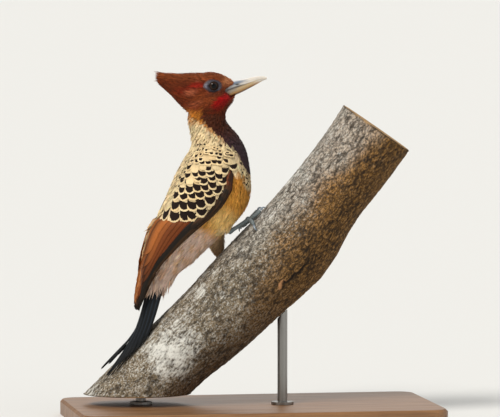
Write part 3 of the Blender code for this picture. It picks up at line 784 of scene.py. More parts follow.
class Hide:
    """The skin, the outer form that the feathers' tips reach, and the skin's unwrap."""

    def __init__(self):
        look = bpy.context.scene.woodpecker_plumage
        self.zones = Zones()
        made = new_object("skin", merged_copy("skin", FLESH, look.grow / MM))
        remeshed(made, look.voxel)
        points, edges = arrays(made.data)[0], edges_of(made.data)
        outer = relaxed(points, edges, 4)
        x, _, z = outer.T
        slim = np.maximum(3.0 * patch(x, z, (-54, 135), (26, 11), 40, 0.5),
                          3.5 * patch(x, z, (-62, 108), (16, 10), 50, 0.5))
        slim = slim * soft_step(x - edge_at(WING_EDGE_LINE, z), -4, 4)
        slim += 1.6 * patch(x, z, (-21.0, 260.0), (5.0, 3.8), 0, 0.5)
        slim += 1.2 * patch(x, z, (-11.5, 256.0), (4.5, 3.0), 0, 0.5)
        bare = Surface(made.data, outer)
        outer = behind_bill(relaxed(outer - bare.normals * slim[:, None], edges, 3))
        self.form = Surface(made.data, outer)
        shown = Surface(made.data, outer)
        thick = []
        for point, normal in zip(outer, shown.normals):
            hit = shown.tree.ray_cast(Vector(point - normal * 0.3), Vector(-normal))
            thick.append(hit[3] if hit[0] else 20.0)
        depth = np.minimum(self.depth(outer), np.array(thick) * 0.3)
        inner = behind_bill(relaxed(outer - shown.normals * depth[:, None], edges, 3))
        set_points(made.data, inner)
        self.surface = Surface(made.data, inner)
        self.object = made
        self.unwrap()
        zones = self.zones.at(inner)
        colour, _ = feather_colours(inner, zones)
        # Skin under the flight feathers is darkened to a third, and the valley between the wings to half:
        # painted shade, so that gaps between feathers read as shadow.
        under_flight_shade = np.char.endswith(zones, "flight")
        valley = under_flight_shade & (np.abs(inner[:, 1]) < 8) & (inner[:, 2] > 96)
        colour[under_flight_shade] *= 0.35
        colour[valley] = np.array(TAN) * 0.5
        valley = valley & (inner[:, 2] > 140)
        colour[valley] = np.array(look.cream) * 0.5
        store(made.data, "tint", colour, "FLOAT_COLOR")
        self.zone = self.zones.at(self.surface.centres)

    def depth(self, points):
        """Depth of the coat, which is thinnest on the face."""
        full = bpy.context.scene.woodpecker_plumage.depth / MM
        head = soft_step(points[:, 2], 234, 246)
        face = head * soft_step(points[:, 0], -46, -30)
        return full * (1 - 0.38 * head - 0.16 * face)

    def unwrap(self):
        made = self.object
        made.data.uv_layers.new(name=BAKE_MAP)
        bpy.context.view_layer.objects.active = made
        made.select_set(True)
        bpy.ops.object.mode_set(mode="EDIT")
        bpy.ops.mesh.select_all(action="SELECT")
        bpy.ops.uv.smart_project(angle_limit=math.radians(66), island_margin=0.002)
        bpy.ops.object.mode_set(mode="OBJECT")
        made.select_set(False)
        mesh = made.data
        mesh.calc_loop_triangles()
        corners = np.empty(len(mesh.loop_triangles) * 3, np.int32)
        mesh.loop_triangles.foreach_get("loops", corners)
        places = np.empty(len(mesh.loops) * 2, np.float32)
        mesh.uv_layers[BAKE_MAP].data.foreach_get("uv", places)
        self.corner_places = places.reshape(-1, 2)[corners.reshape(-1, 3)]

    def unwrapped(self, faces, weights):
        """Places on the unwrap of points on the skin."""
        return (self.corner_places[faces] * weights[:, :, None]).sum(1)

    def scatter(self, keep, spacing, rng):
        """Roots spread evenly over some triangles: places, triangle numbers and weights."""
        skin = self.surface
        share = skin.areas * keep / spacing**2
        count = int(share.sum() * CANDIDATES)
        faces = rng.choice(len(share), count, p=share / share.sum())
        a, b = np.sqrt(rng.random(count)), rng.random(count)
        weights = np.stack([1 - a, a * (1 - b), a * b], 1)
        places = skin.mixed(skin.points, faces, weights)
        tree = KDTree(count)
        for number, place in enumerate(places.tolist()):
            tree.insert(place, number)
        tree.balance()
        reach = np.broadcast_to(spacing, len(share))[faces]
        alive = np.ones(count, bool)
        for number in range(count):
            if alive[number]:
                for _, other, _ in tree.find_range(places[number], reach[number]):
                    if other > number:
                        alive[other] = False
        return places[alive], faces[alive], weights[alive]


def feather_tree():
    """Geometry Nodes that put one shaped vane on every root and join them all."""
    tree, net, given = geometry_tree("Feathers", (
        ("Columns", "Int", 5), ("Rows", "Int", 6), ("Rounding", "Float", 0.3), ("Taper", "Float", 0.2),
        ("Fray", "Float", 0.1), ("Camber", "Float", 0.2), ("Arch", "Float", 0.2),
        ("Root width", "Float", 0.35), ("Fullest", "Float", 0.6), ("Stir", "Float", 0.6 * MM),
        ("Patch", "Float", PATCH), ("Material", "Material", None)))

    grid = net.node("GeometryNodeMeshGrid", None, {"Size X": 2.0, "Size Y": 1.0,
                                                   "Vertices X": given["Columns"],
                                                   "Vertices Y": given["Rows"]})
    across, lengthways, _ = net.parts(net.node("GeometryNodeInputPosition"))
    along = lengthways + 0.5
    marked = net.stored(grid, "vane", net.whole(across * 0.5 + 0.5, along, 0.0), "FLOAT2", "CORNER")
    opening = net.maths("SINE", net.maths("MINIMUM", along / given["Fullest"], 1.0) * (math.pi / 2))
    closing = net.rise(along, given["Fullest"], 1.0)
    half = (given["Root width"] + (1 - given["Root width"]) * opening) * (1 - given["Taper"] * closing)
    saw = net.maths("PINGPONG", across * (given["Columns"] - 1) * 0.5 + 0.001, 1.0)
    round_off = given["Rounding"] * across * across * net.maths("ABSOLUTE", across)
    length = along * (1 - round_off) - given["Fray"] * saw * along ** 3
    height = (given["Arch"] * along * (1 - along) * 4
              - given["Camber"] * across * across * half)
    vane = net.node("GeometryNodeSetPosition", None, {
        "Geometry": marked, "Position": net.whole(across * half, length, height)})

    turn = net.node("FunctionNodeAxesToRotation", {"primary_axis": "Y", "secondary_axis": "Z"},
                    {0: net.read("ahead"), 1: net.read("up")})
    placed = net.node("GeometryNodeInstanceOnPoints", None, {
        "Points": given["Geometry"], "Instance": vane, "Rotation": turn, "Scale": net.read("size")})
    real = net.node("GeometryNodeRealizeInstances", None, {"Geometry": placed})
    stir = net.vector("SUBTRACT", net.noise(net.node("GeometryNodeInputPosition"), 1.4, 1.0, out="Color"),
                      (0.5, 0.5, 0.5))
    _, tip, _ = net.parts(net.read("vane"))
    real = net.moved(real, net.scaled(stir, tip * tip * given["Stir"]))
    inside = net.scaled(net.vector("SUBTRACT", net.read("vane"), (0.5, 0.5, 0.0)), given["Patch"])
    baked = net.stored(real, BAKE_MAP, net.vector("ADD", net.read("root_place"), inside),
                       "FLOAT2", "CORNER")
    for name in ("ahead", "up", "size", "root_place"):
        baked = net.node("GeometryNodeRemoveAttribute", None, {"Geometry": baked, "Name": name})
    smooth = net.node("GeometryNodeSetShadeSmooth", None, {"Geometry": baked})
    painted = net.node("GeometryNodeSetMaterial", None, {"Geometry": smooth,
                                                         "Material": given["Material"]})
    net.node("NodeGroupOutput", None, {0: painted})
    return tree


SHAPES = {  # vane: columns, rows, rounding, taper, fray, camber, arch, root width, fullest
    "scale": (5, 6, 0.34, 0.25, 0.0, 0.22, 0.10, 0.5, 0.6),
    "small": (3, 4, 0.35, 0.35, 0.0, 0.22, 0.12, 0.6, 0.55),
    "lance": (3, 6, 0.10, 0.85, 0.0, 0.30, 0.10, 0.6, 0.4),
    "plume": (9, 5, 0.30, 0.30, 0.26, 0.22, 0.14, 0.5, 0.65),
    "covert": (11, 8, 0.15, 0.06, 0.018, 0.20, 0.08, 0.6, 0.62),
}
SHAPE_INPUTS = ("Columns", "Rows", "Rounding", "Taper", "Fray", "Camber", "Arch", "Root width",
                "Fullest")


def set_input(modifier, name, value):
    """Sets a Geometry Nodes input by the identifier of its socket."""
    for item in modifier.node_group.interface.items_tree:
        if item.item_type == "SOCKET" and item.in_out == "INPUT" and item.name == name:
            modifier[item.identifier] = value
            return
    raise RuntimeError(f"the tree has no input {name}")


def grown(name, tree, material, shape, roots, tips, ups, widths, tint, bars, places):
    """One coat piece: a vane from each root to its tip, as a plain mesh."""
    ahead = tips - roots
    lengths = np.linalg.norm(ahead, axis=1)
    mesh = bpy.data.meshes.new(name)
    mesh.from_pydata((roots * MM).tolist(), [], [])
    store(mesh, "ahead", unit(ahead), "FLOAT_VECTOR")
    store(mesh, "up", ups, "FLOAT_VECTOR")
    store(mesh, "size", np.stack([widths / 2, lengths, widths / 2], 1) * MM, "FLOAT_VECTOR")
    store(mesh, "root_place", np.hstack([places, np.zeros((len(places), 1))]), "FLOAT_VECTOR")
    store(mesh, "tint", tint, "FLOAT_COLOR")
    store(mesh, "bars", bars)
    rng = np.random.default_rng(len(roots))
    store(mesh, "chance", rng.random(len(roots)))
    made = new_object(name, mesh)
    nodes = made.modifiers.new("Feathers", "NODES")
    nodes.node_group = tree
    for key, value in zip(SHAPE_INPUTS, SHAPES[shape]):
        set_input(nodes, key, value)
    set_input(nodes, "Material", material)
    return applied(made)


def feather_material(name, barbs=0.2, shaft=0.08, roughness=0.8, sheen=0.04):
    """Vane material: each feather's own tint, its barbs, its shaft and its bar."""
    look = bpy.context.scene.woodpecker_plumage
    fresh = Finish(name, roughness, Specular_IOR_Level=0.15, Sheen_Weight=sheen, Sheen_Roughness=0.5)
    tint = fresh.attribute("tint", "Color")
    bars = fresh.attribute("bars")
    chance = fresh.attribute("chance")
    across, along, _ = fresh.parts(fresh.attribute("vane", "Vector"))
    off = fresh.maths("ABSOLUTE", across - 0.5) * 2
    place = fresh.place()
    lines = fresh.maths("SINE", (along * 20 - off * 9 + chance * 6) * 6.0) * 0.5 + 0.5
    grainy = fresh.noise(place, 0.9, 2.0)
    dim = 1 - barbs * lines * 0.6 - barbs * (grainy - 0.5) * 1.6
    # Each feather is darker towards its root, where the feathers over it cover it: painted shade.
    past_root_shade = fresh.rise(along, 0.0, 0.75)
    dim = dim * (0.62 + 0.38 * past_root_shade)
    quill = (1 - fresh.rise(off, 0.04, 0.16)) * shaft
    dim = dim * (1 - quill)
    base = fresh.dimmed(tint, dim)
    wobble = (fresh.noise(place, 2.0, 2.0) - 0.5) * 1.5
    height = fresh.maths("ABSOLUTE", along - 0.735 + off * off * 0.08) / (0.11 + bars * 0.053)
    reach = (off / (bars * 1.1 + 0.05)) ** 3 + height ** 3
    mask = (1 - fresh.rise(reach + wobble, 0.75, 1.15)) * fresh.rise(bars, 0.05, 0.1)
    fresh.feed("Base Color", fresh.blend(mask, base, look.spot))
    fresh.bump(lines * 0.7 + (1 - off) * 0.6, 0.12, 0.5)
    return fresh.material


TAIL_LINE = np.array((-0.28, 0.0, -0.96))  # down the middle of the tail from its root


def tract_masks(hide):
    """Triangles of the skin that each tract of small feathers covers, by name."""
    x, y, z = hide.surface.centres.T
    zone = hide.zone
    rise = unit(hide.surface.normals[hide.surface.triangles].mean(1))
    behind = edge_at(BIB_EDGE, z) - x > 0
    under = x - edge_at(WING_EDGE_LINE, z) > -5
    head, trunk = zone == "head", zone == "trunk"
    round_eye = ((x - EYE_CENTRE[0]) / 6.0) ** 2 + ((z - EYE_CENTRE[2]) / 4.5) ** 2 < 1
    eye_hole = head & round_eye & (np.abs(y) > 5)
    bill_hole = (x > edge_at(GAPE, z)) & (z > along_line(GONYS, x) + 0.3)
    chin_hole = (x > -13.0) & (z > 247) & (z < along_line(GONYS, x) + 1.5)
    open_head = head & ~eye_hole & ~bill_hole & ~chin_hole
    throat = (open_head & (z <= HEAD_LOW)) | (zone == "neck")
    inside = (np.abs(y) < 7) & (z > 136) & (rise[:, 0] > 0.2)
    top = ((rise[:, 2] > 0.45) & (z > 265)) | ((x < FACE_BACK) & (z > 250))
    return {
        "face": open_head & (z > HEAD_LOW) & ~top & (x > FACE_BACK),
        "nares": open_head & (z > 263.0) & (x > -20.5),
        "crown": open_head & (z > HEAD_LOW) & top,
        "cheek": open_head & (z > HEAD_LOW) & ~top & (x <= FACE_BACK),
        "crest": zone == "crest",
        "bib": (throat | (trunk & (z > BREAST_LOW))) & ~behind,
        "nape": throat & behind,
        "mantle": trunk & (~under | ((z > BREAST_LOW) & behind)),
        "belly": trunk & under & (z <= BREAST_LOW) & (slanting(x, z) > VENT_LINE),
        "vent": ((zone == "vent") | (trunk & under & (slanting(x, z) <= VENT_LINE)))
        & ((z > 116) | ((rise * TAIL_LINE).sum(1) < 0.45)),
        "leg": np.char.startswith(zone, "thigh"),
        "rump": (np.char.endswith(zone, "flight") & (rise[:, 1] * np.sign(y) < 0.7) & (z > 92)
                 & ~inside),
        "wing": np.char.endswith(zone, "coverts"),
    }


TRACTS = {  # spacing, length, width, lift, scatter of direction in degrees, shape, slot
    "face": (0.56, 3.0, 0.80, 0.10, 9, "small", "head_feathers"),
    "nares": (0.62, 3.6, 0.60, 0.35, 14, "lance", "head_feathers"),
    "crown": (0.60, 5.4, 0.85, 0.15, 6, "lance", "head_feathers"),
    "cheek": (0.60, 4.6, 0.85, 0.15, 8, "lance", "head_feathers"),
    "crest": (0.66, 12.0, 1.00, 0.25, 5, "lance", "head_feathers"),
    "bib": (1.05, 5.2, 2.0, 0.12, 8, "plume", "body_feathers"),
    "nape": (1.05, 7.4, 1.8, 1.25, 16, "plume", "body_feathers"),
    "mantle": (1.70, 8.5, 4.0, 0.25, 9, "plume", "body_feathers"),
    "belly": (1.25, 8.0, 2.2, 0.30, 9, "plume", "body_feathers"),
    "vent": (1.20, 9.5, 2.0, 0.45, 11, "plume", "body_feathers"),
    "leg": (0.95, 5.0, 1.5, 0.30, 12, "plume", "body_feathers"),
    "rump": (1.80, 10.0, 3.8, 0.20, 6, "scale", "flight_feathers"),
    "wing": (2.40, 7.5, 4.6, 0.15, 10, "scale", "spotted_feathers"),
}


def lay_tract(hide, tree, material, name, keep, number):
    """Covers part of the skin with small feathers that follow the lie of the coat."""
    spacing, length, width, lift, spread, shape, slot = TRACTS[name]
    look = bpy.context.scene.woodpecker_plumage
    rng = np.random.default_rng(look.seed * 100 + number)
    skin = hide.surface
    if name == "rump":
        valley = (skin.centres[:, 2] > 138) & (np.abs(skin.centres[:, 1]) < 5)
        spacing = spacing * np.where(valley, 0.6, 1.0)
    roots, faces, weights = hide.scatter(keep, spacing, rng)
    normals = unit(skin.mixed(skin.normals, faces, weights))
    lie = lie_at(roots, normals)
    if name == "nares":
        lie = np.cross(np.cross(normals, (0.95, 0, 0.2)), normals)
    if name == "crest":
        lie = lie + np.array((-0.47, 0, 0.17))
    turn = np.radians(rng.normal(0, spread, len(roots)))[:, None]
    lie = unit(lie * np.cos(turn) + np.cross(normals, lie) * np.sin(turn))
    size = np.clip(rng.normal(1, 0.13, len(roots)), 0.7, 1.4)
    if name in ("face", "cheek"):
        gap = np.hypot(roots[:, 0] - EYE_CENTRE[0], roots[:, 2] - EYE_CENTRE[2])
        size *= 0.62 + 0.38 * soft_step(gap, 5.5, 10) * soft_step(-roots[:, 0], 17, 24)
    x, _, z = roots.T
    if name in ("crown", "cheek"):
        size = size * (1 + 1.0 * soft_step(-x, 38, 52))
    elif name == "crest":
        size = size * (0.62 + 0.5 * soft_step(-x, 46, 60)) * (1 + 0.3 * (rng.random(len(x)) < 0.12))
        size = size * (1 - 0.5 * soft_step(-x, 62, 72))
    elif name == "mantle":
        size = size * (1 + 0.5 * soft_step(-z, -170, -158))
    elif name == "vent":
        size = size * (1 + 0.2 * soft_step(-z, -124, -112))
    reach = (length * size)[:, None]
    depth = hide.depth(roots)[:, None]
    aim = roots + lie * reach + normals * depth
    spots, spot_normals, _ = hide.form.nearest(aim)
    if name == "crest":
        free = soft_step(-roots[:, 0], 52, 66)[:, None] * 0.55
        spots = spots * (1 - free) + aim * free
    if name == "vent":
        free = soft_step(-roots[:, 2], -122, -112)[:, None]
        spots = spots * (1 - free) + (roots + TAIL_LINE * reach + normals * (depth + 0.4)) * free
    raised = lift * rng.uniform(-0.2, 1.6, len(roots))
    broad = width * np.minimum(size, 1.3)
    if name == "rump":
        valley = valley[faces]
        broad = broad * (1 - 0.35 * valley)
        spots[valley] = (roots + lie * reach + normals * 0.9)[valley]
        spot_normals[valley] = normals[valley]
    if name in ("belly", "vent"):
        gap = spots[:, 0] - edge_at(WING_EDGE_LINE, spots[:, 2])
        down = Wing.placed(spots)[1]
        raised = raised - 1.2 * (1 - soft_step(gap - Wing.overlap(down), 1.0, 3.5))
    tips = spots + spot_normals * raised[:, None]
    starts = roots - normals * (0.25 if name != "rump" else 0.0)
    astray = (unit(tips - starts) * lie).sum(1) < ASTRAY
    tips[astray] = aim[astray] + (normals * raised[:, None])[astray]
    shown = starts * 0.4 + tips * 0.6
    colour, bars = feather_colours(shown, hide.zone[faces])
    bars = np.where(rng.random(len(bars)) < bars * 0.32, rng.uniform(0.3, 0.9, len(bars)), 0) * (bars > 0.1)
    vary = 0.22 if slot == "head_feathers" else 0.13
    if name == "rump":
        inward = (1 - soft_step(normals[:, 1] * np.sign(roots[:, 1]), 0.1, 0.6)) * soft_step(z, 96, 103)
        buff = (np.array(look.cream) * 0.6 + np.array(look.nape) * 0.4) * 0.85
        buff = toward(np.array(TAN), buff, soft_step(z, 132, 146)[:, None])
        colour = toward(colour, buff, inward[:, None])
    colour *= np.clip(rng.normal(1, vary, (len(roots), 1)), 0.5, 1.6)
    colour *= np.clip(rng.normal(1, 0.02, (len(roots), 3)), 0.9, 1.1)
    made = grown(f"plumage_{name}", tree, material, shape, starts, tips, unit(normals + spot_normals),
                 broad, colour, bars, hide.unwrapped(faces, weights))
    piece(made, slot)
    return made


class Wing:
    """A folded wing on the side view: down counts from the shoulder, across from the back edge."""

    SHOULDER = (-41.0, 220.6)
    ACROSS = (0.94, -0.343)
    OVERLAP = 6.0  # of the feathers over the flank, past the solid's edge

    def __init__(self, hide, side):
        self.side, self.form = side, hide.form
        names = [f"wing_{SIDES[side]}_{part}" for part in ("coverts", "flight")]
        points = points_of(names)
        across, down = self.placed(points)
        order = np.argsort(down)
        rows = np.split(order, np.where(np.diff(down[order]) > 1.0)[0] + 1)
        self.down = np.array([down[row].mean() for row in rows])
        self.low = np.array([across[row].min() for row in rows])
        self.high = np.array([across[row].max() for row in rows]) + self.overlap(self.down)

    @classmethod
    def placed(cls, points):
        """How far across and down the wing points lie."""
        x, z = points[:, 0] - cls.SHOULDER[0], points[:, 2] - cls.SHOULDER[1]
        return x * cls.ACROSS[0] + z * cls.ACROSS[1], x * cls.ACROSS[1] - z * cls.ACROSS[0]

    @classmethod
    def overlap(cls, down):
        """How far the feathers reach past the solid's front edge."""
        return cls.OVERLAP * soft_step(down, 12, 30) * (1 - soft_step(down, 35, 82))

    def edges(self, down):
        return np.interp(down, self.down, self.low), np.interp(down, self.down, self.high)

    def at(self, down, across, lift):
        """Points over the wing's outer side, lifted off it, and the directions they were lifted in."""
        down, across, lift = np.broadcast_arrays(down, across, lift)
        shape = down.shape
        down, across, lift = down.ravel(), across.ravel(), lift.ravel()
        low, high = self.edges(down)
        held = np.clip(across, low + 0.4, np.maximum(high - 0.4, low + 0.5))
        x = self.SHOULDER[0] + held * self.ACROSS[0] + down * self.ACROSS[1]
        z = self.SHOULDER[1] + held * self.ACROSS[1] - down * self.ACROSS[0]
        y = self.form.from_side(x, z, self.side)
        missed = np.isnan(y)
        if missed.any():
            places = np.stack([x, np.full(len(x), self.side * 30.0), z], 1)[missed]
            y[missed] = self.form.nearest(places)[0][:, 1]
        spots = np.stack([x, y, z], 1)
        normals = self.form.nearest(spots)[1]
        inner = 0.1 + 0.4 * soft_step(held - low, 2, 12)
        normals[:, 1] = self.side * np.maximum(normals[:, 1] * self.side, inner)
        normals = unit(normals)
        over = (across - held)[:, None] * np.array((self.ACROSS[0], 0, self.ACROSS[1]))
        spots = spots + over + normals * lift[:, None]
        return spots.reshape(*shape, 3), normals.reshape(*shape, 3)


# Covert rows: how far down the back edge the row's tips lie, feather length, width, size of its bars
COVERT_ROWS = (
    (70.5, 17.5, 9.4, 1.6), (61.5, 16.5, 9.0, 1.6), (53.0, 15.0, 8.6, 1.5), (45.5, 13.5, 8.0, 1.3),
    (38.6, 12.4, 7.6, 1.3), (32.4, 11.2, 7.2, 1.0), (26.8, 10.0, 6.6, 1.0), (21.6, 9.0, 6.2, 0.7),
    (16.8, 8.2, 5.8, 0.6), (12.6, 7.4, 5.2, 0.45), (8.8, 6.6, 4.8, 0.4), (5.4, 6.0, 4.4, 0.3),
)


def covert_tips(back, gap):
    """How far down a row's tips lie at a distance from the back edge: rows curve up at the front."""
    return back - 0.16 * gap - 0.0130 * gap**2


def lay_coverts(hide, tree, material, side):
    """Rows of barred coverts over the upper wing."""
    look = bpy.context.scene.woodpecker_plumage
    wing = Wing(hide, side)
    rng = np.random.default_rng(look.seed * 10 + side)
    rows = []
    for number, (back, length, width, bar) in enumerate(COVERT_ROWS):
        pitch = width * 0.64
        gaps = np.arange(3.2 + (number % 2) * pitch / 2, 43.0, pitch)
        gaps = gaps + rng.normal(0, 0.35, len(gaps))
        down = covert_tips(back, gaps) + rng.normal(0, 0.85, len(gaps))
        low, high = wing.edges(down)
        share = gaps / np.maximum(high - low, 1)
        limit = np.where(down > 20, 0.86 + 0.07 * rng.random(len(gaps)), 1.02)
        keep = (share < limit) & (down > 1.5)
        for gap, tip, edge in zip(gaps[keep], down[keep], low[keep]):
            lean = 0.05 + 0.010 * gap
            top = tip - length
            rows.append((top, edge + gap - lean * length, tip, edge + gap, width, length, bar, number))
    rows = np.array(rows)
    count = len(rows)
    levels = rows[:, 7] * 0.03
    starts = wing.at(np.maximum(rows[:, 0], -1.0), rows[:, 1], -0.7 + levels * 0.3)[0]
    inward = soft_step(rows[:, 3] - wing.edges(rows[:, 2])[0], 0, 9)
    lift = (0.9 + levels + rng.uniform(0, 0.25, count)) * (0.4 + 0.6 * inward)
    tips, normals = wing.at(rows[:, 2], rows[:, 3], lift)
    tint = np.array(look.cream) * rng.normal(1.0, 0.07, (count, 1)).clip(0.75, 1.2)
    warm = (rng.random(count) * 0.3)[:, None]
    tint = toward(tint, COVERT_BUFF, warm)
    bars = rows[:, 6] * rng.uniform(0.72, 1.08, count)
    bars[rng.random(count) < np.interp(rows[:, 7], (0, 2, 3, 6, 11), (0, 0, 0.05, 0.24, 0.45))] = 0
    spots, _, faces = hide.surface.nearest(starts)
    narrow = 0.55 + 0.45 * inward
    made = grown(f"coverts_{SIDES[side]}", tree, material, "covert", starts, tips, normals,
                 rows[:, 4] * narrow, tint, bars, hide.unwrapped(faces, hide.surface.weights(spots, faces)))
    piece(made, "spotted_feathers")
    return made


class Quills:
    """Collects long vanes and makes one mesh of them."""

    def __init__(self):
        self.sheets = []

    def add(self, points, tint):
        """One vane: rows of points from root to tip, and the colour of each."""
        self.sheets.append((points, np.broadcast_to(tint, points.shape)))

    def build(self, name, material, thickness, outward):
        points, tints, faces, places, baked = [], [], [], [], []
        shift, count = 0, len(self.sheets)
        for number, (sheet, tint) in enumerate(self.sheets):
            rows, columns = sheet.shape[:2]
            points.append(sheet.reshape(-1, 3))
            tints.append(tint.reshape(-1, 3))
            u, v = np.meshgrid(np.linspace(0, 1, columns), np.linspace(0, 1, rows))
            own = np.stack([u.ravel(), v.ravel()], 1)
            cell = np.stack([(number + 0.05 + 0.9 * own[:, 0]) / count, 0.02 + 0.96 * own[:, 1]], 1)
            k = (np.arange(rows - 1)[:, None] * columns + np.arange(columns - 1)).ravel()
            quads = np.stack([k, k + 1, k + columns + 1, k + columns], 1)
            first = sheet[1:, 1:] - sheet[:-1, :-1]
            second = sheet[1:, :-1] - sheet[:-1, 1:]
            if (np.cross(first, second).reshape(-1, 3) * outward).sum() < 0:
                quads = quads[:, ::-1]
            faces.append(quads + shift)
            places.append(own)
            baked.append(cell)
            shift += len(own)
        mesh = mesh_of(name, np.vstack(points), np.vstack(faces))
        corners = np.empty(len(mesh.loops), np.int32)
        mesh.loops.foreach_get("vertex_index", corners)
        for label, values in ((BAKE_MAP, np.vstack(baked)), ("vane", np.vstack(places))):
            layer = mesh.uv_layers.new(name=label)
            layer.data.foreach_set("uv", values[corners].astype(np.float32).ravel())
        store(mesh, "tint", np.vstack(tints), "FLOAT_COLOR")
        made = new_object(name, mesh, material)
        solid = made.modifiers.new("Thickness", "SOLIDIFY")
        solid.thickness = thickness * MM
        solid.offset = -1.0
        return applied(made)


def quill_material(name, roughness, sheen, barbs):
    """Long vane: fine slanting barbs, a raised quill and a soft gloss."""
    fresh = Finish(name, roughness, Specular_IOR_Level=0.2, Sheen_Weight=sheen, Sheen_Roughness=0.4)
    tint = fresh.attribute("tint", "Color")
    across, along, _ = fresh.parts(fresh.attribute("vane", "Vector"))
    off = fresh.maths("ABSOLUTE", across - 0.5) * 2
    place = fresh.place()
    worn = fresh.noise(place, 1.6, 3.0)
    lines = fresh.maths("SINE", (along * 62 - off * 5 + worn * 1.5) * 6.283) * 0.5 + 0.5
    dim = 1 - barbs * lines - 0.5 * (worn - 0.5)
    quill = 1 - fresh.rise(off, 0.03, 0.09)
    dim = dim * (1 - quill * 0.35)
    fresh.feed("Base Color", fresh.dimmed(tint, dim))
    fresh.bump(lines * 0.6 + quill * 1.6, 0.12, 0.6)
    return fresh.material


def vane_profile(v, start=0.84, end=0.12):
    """Share of a long feather's width along it: parallel, then rounded at the tip."""
    u = np.clip((v - start) / (1 - start), 0, 1)
    return np.sqrt(np.maximum(1 - u**2 * (1 - end**2), 0)) * (0.35 + 0.65 * soft_step(v, 0, 0.25))


REMEX_ROWS, REMEX_COLUMNS = 26, 9
# Inner flight feathers from the back edge forwards: paleness, darkness of the tip, where it ends
INNER_QUILLS = ((0.66, 0.2, 101), (0.36, 0.2, 110), (0.14, 0.25, 117), (0.14, 0.4, 122), (0.05, 0.7, 127),
                (0.06, 0.92, 131), (0.0, 0.92, 134))
OUTER_TIPS = (138, 141.5, 142.3, 140, 134, 124, 108)  # where the outer flight feathers end
EDGE_COVERTS = 8  # dark coverts along the wing's lower edge


def lay_remiges(hide, material, dark_material, side):
    """Chestnut inner flight feathers, dark outer ones and the dark coverts along the lower edge."""
    look = bpy.context.scene.woodpecker_plumage
    wing = Wing(hide, side)
    rng = np.random.default_rng(look.seed * 20 + side)
    v, u = np.meshgrid(np.linspace(0, 1, REMEX_ROWS), np.linspace(-1, 1, REMEX_COLUMNS), indexing="ij")
    fullest = wing.edges(64.0)
    chord = fullest[1] - fullest[0]

    def vane(quills, root, tip, share, drift, width, lift, colours, tilt=0.0):
        down = root + (tip - root) * (v - 0.03 * u**2 * v)
        low, high = wing.edges(down)
        narrow = 0.42 + 0.58 * np.clip((high - low) / chord, 0, 1)
        middle = low + (high - low) * (share + drift * v**2)
        across = np.clip(middle + u * width * narrow * vane_profile(v), low - 0.15, high + 0.15)
        clear = down - covert_tips(COVERT_ROWS[0][0], across - low)
        sunk = (1 - soft_step(clear, -6, 2.5)) * (1 - soft_step((across - low) / (high - low), 0.8, 0.9))
        height = lift * (1 - sunk) - 1.7 * sunk + 0.06 * (1 - u**2) + 0.08 * np.exp(-(u / 0.1) ** 2)
        height = height + tilt * u - 1.6 * (1 - soft_step(v, 0.0, 0.12))
        points, _ = wing.at(down, across, height)
        quills.add(points, colours)

    inner, outer = Quills(), Quills()
    black, chestnut, pale = (np.array(c) for c in (look.primary, look.chestnut, PALE_CHESTNUT))
    for number, (paleness, tip_dark, end) in enumerate(INNER_QUILLS):
        tint = toward(chestnut, pale, paleness) * rng.uniform(0.9, 1.08)
        # Dark streaks down the inner flight feathers: dark shafts together with painted shade where the
        # feathers overlap.
        shade = 0.7 * np.exp(-((u - 0.05) / 0.22) ** 2) * soft_step(v, 0.15, 0.4)
        second = 0.75 * np.exp(-((u + 0.62) / 0.10) ** 2) * soft_step(v, 0.1, 0.3)
        shade = np.maximum(shade, second * (number > 0))
        edge = 0.4 * soft_step(-u, 0.3, 1.0)
        colours = tint * (1 - shade[..., None]) + (pale - tint) * edge[..., None]
        colours = toward(colours, black, tip_dark * soft_step(v, 0.70, 0.93)[..., None])
        colours = toward(colours, black, 0.16 * max(number - 4, 0))
        vane(inner, 44.0 - number, end, 0.06 + 0.112 * number, -0.04, 4.6,
             0.55 + 0.13 * (7 - number), colours, 0.16)
    for number, end in enumerate(OUTER_TIPS):
        outer_edge = 0.5 * soft_step(u, 0.45, 0.85) * (1 - soft_step(v, 0.75, 0.95))
        colours = toward(black * rng.uniform(0.75, 1.2), VANE_BROWN, outer_edge[..., None])
        vane(outer, 40.0 - 2 * number, end, 0.79 + 0.030 * number, -0.16, 3.0,
             0.8 + 0.055 * (7 - number), colours, 0.14)
    for number in range(EDGE_COVERTS):
        root = 14.0 + 3.0 * number
        rust = np.array(RUST if number < 3 else DARK_RUST)
        tint = toward(black, rust, rng.uniform(0.0, 0.55))
        dark = soft_step(v, 0.6, 0.9) * 0.8 + 0.5 * (number < 3) * soft_step(u, -0.1, 0.5)
        rim = 0.6 * np.exp(-((u + 0.85) / 0.16) ** 2) * (1 - soft_step(v, 0.8, 0.95))
        colours = toward(tint, black * 0.8, np.clip(dark, 0, 1)[..., None])
        colours = toward(colours, rust * 1.2, rim[..., None])
        vane(outer, root, root + 22 + 1.6 * number, 0.94 - 0.012 * number, -0.02, 3.0,
             1.15 + 0.05 * number, colours)
    label = SIDES[side]
    outward = np.array((0, side, 0))
    made = inner.build(f"flight_inner_{label}", material, 0.2, outward)
    piece(made, "flight_feathers", f"wing_{label}_flight")
    piece(outer.build(f"flight_outer_{label}", dark_material, 0.2, outward), "flight_feathers")


RECTRIX_POINTS = 6  # round each section of a tail feather's solid
RECTRIX_ROWS, RECTRIX_COLUMNS = 30, 11
TAIL_STRAY = {("left", 5): 0.6, ("left", 4): 1.4, ("left", 3): 2.6, ("left", 2): 5.5}


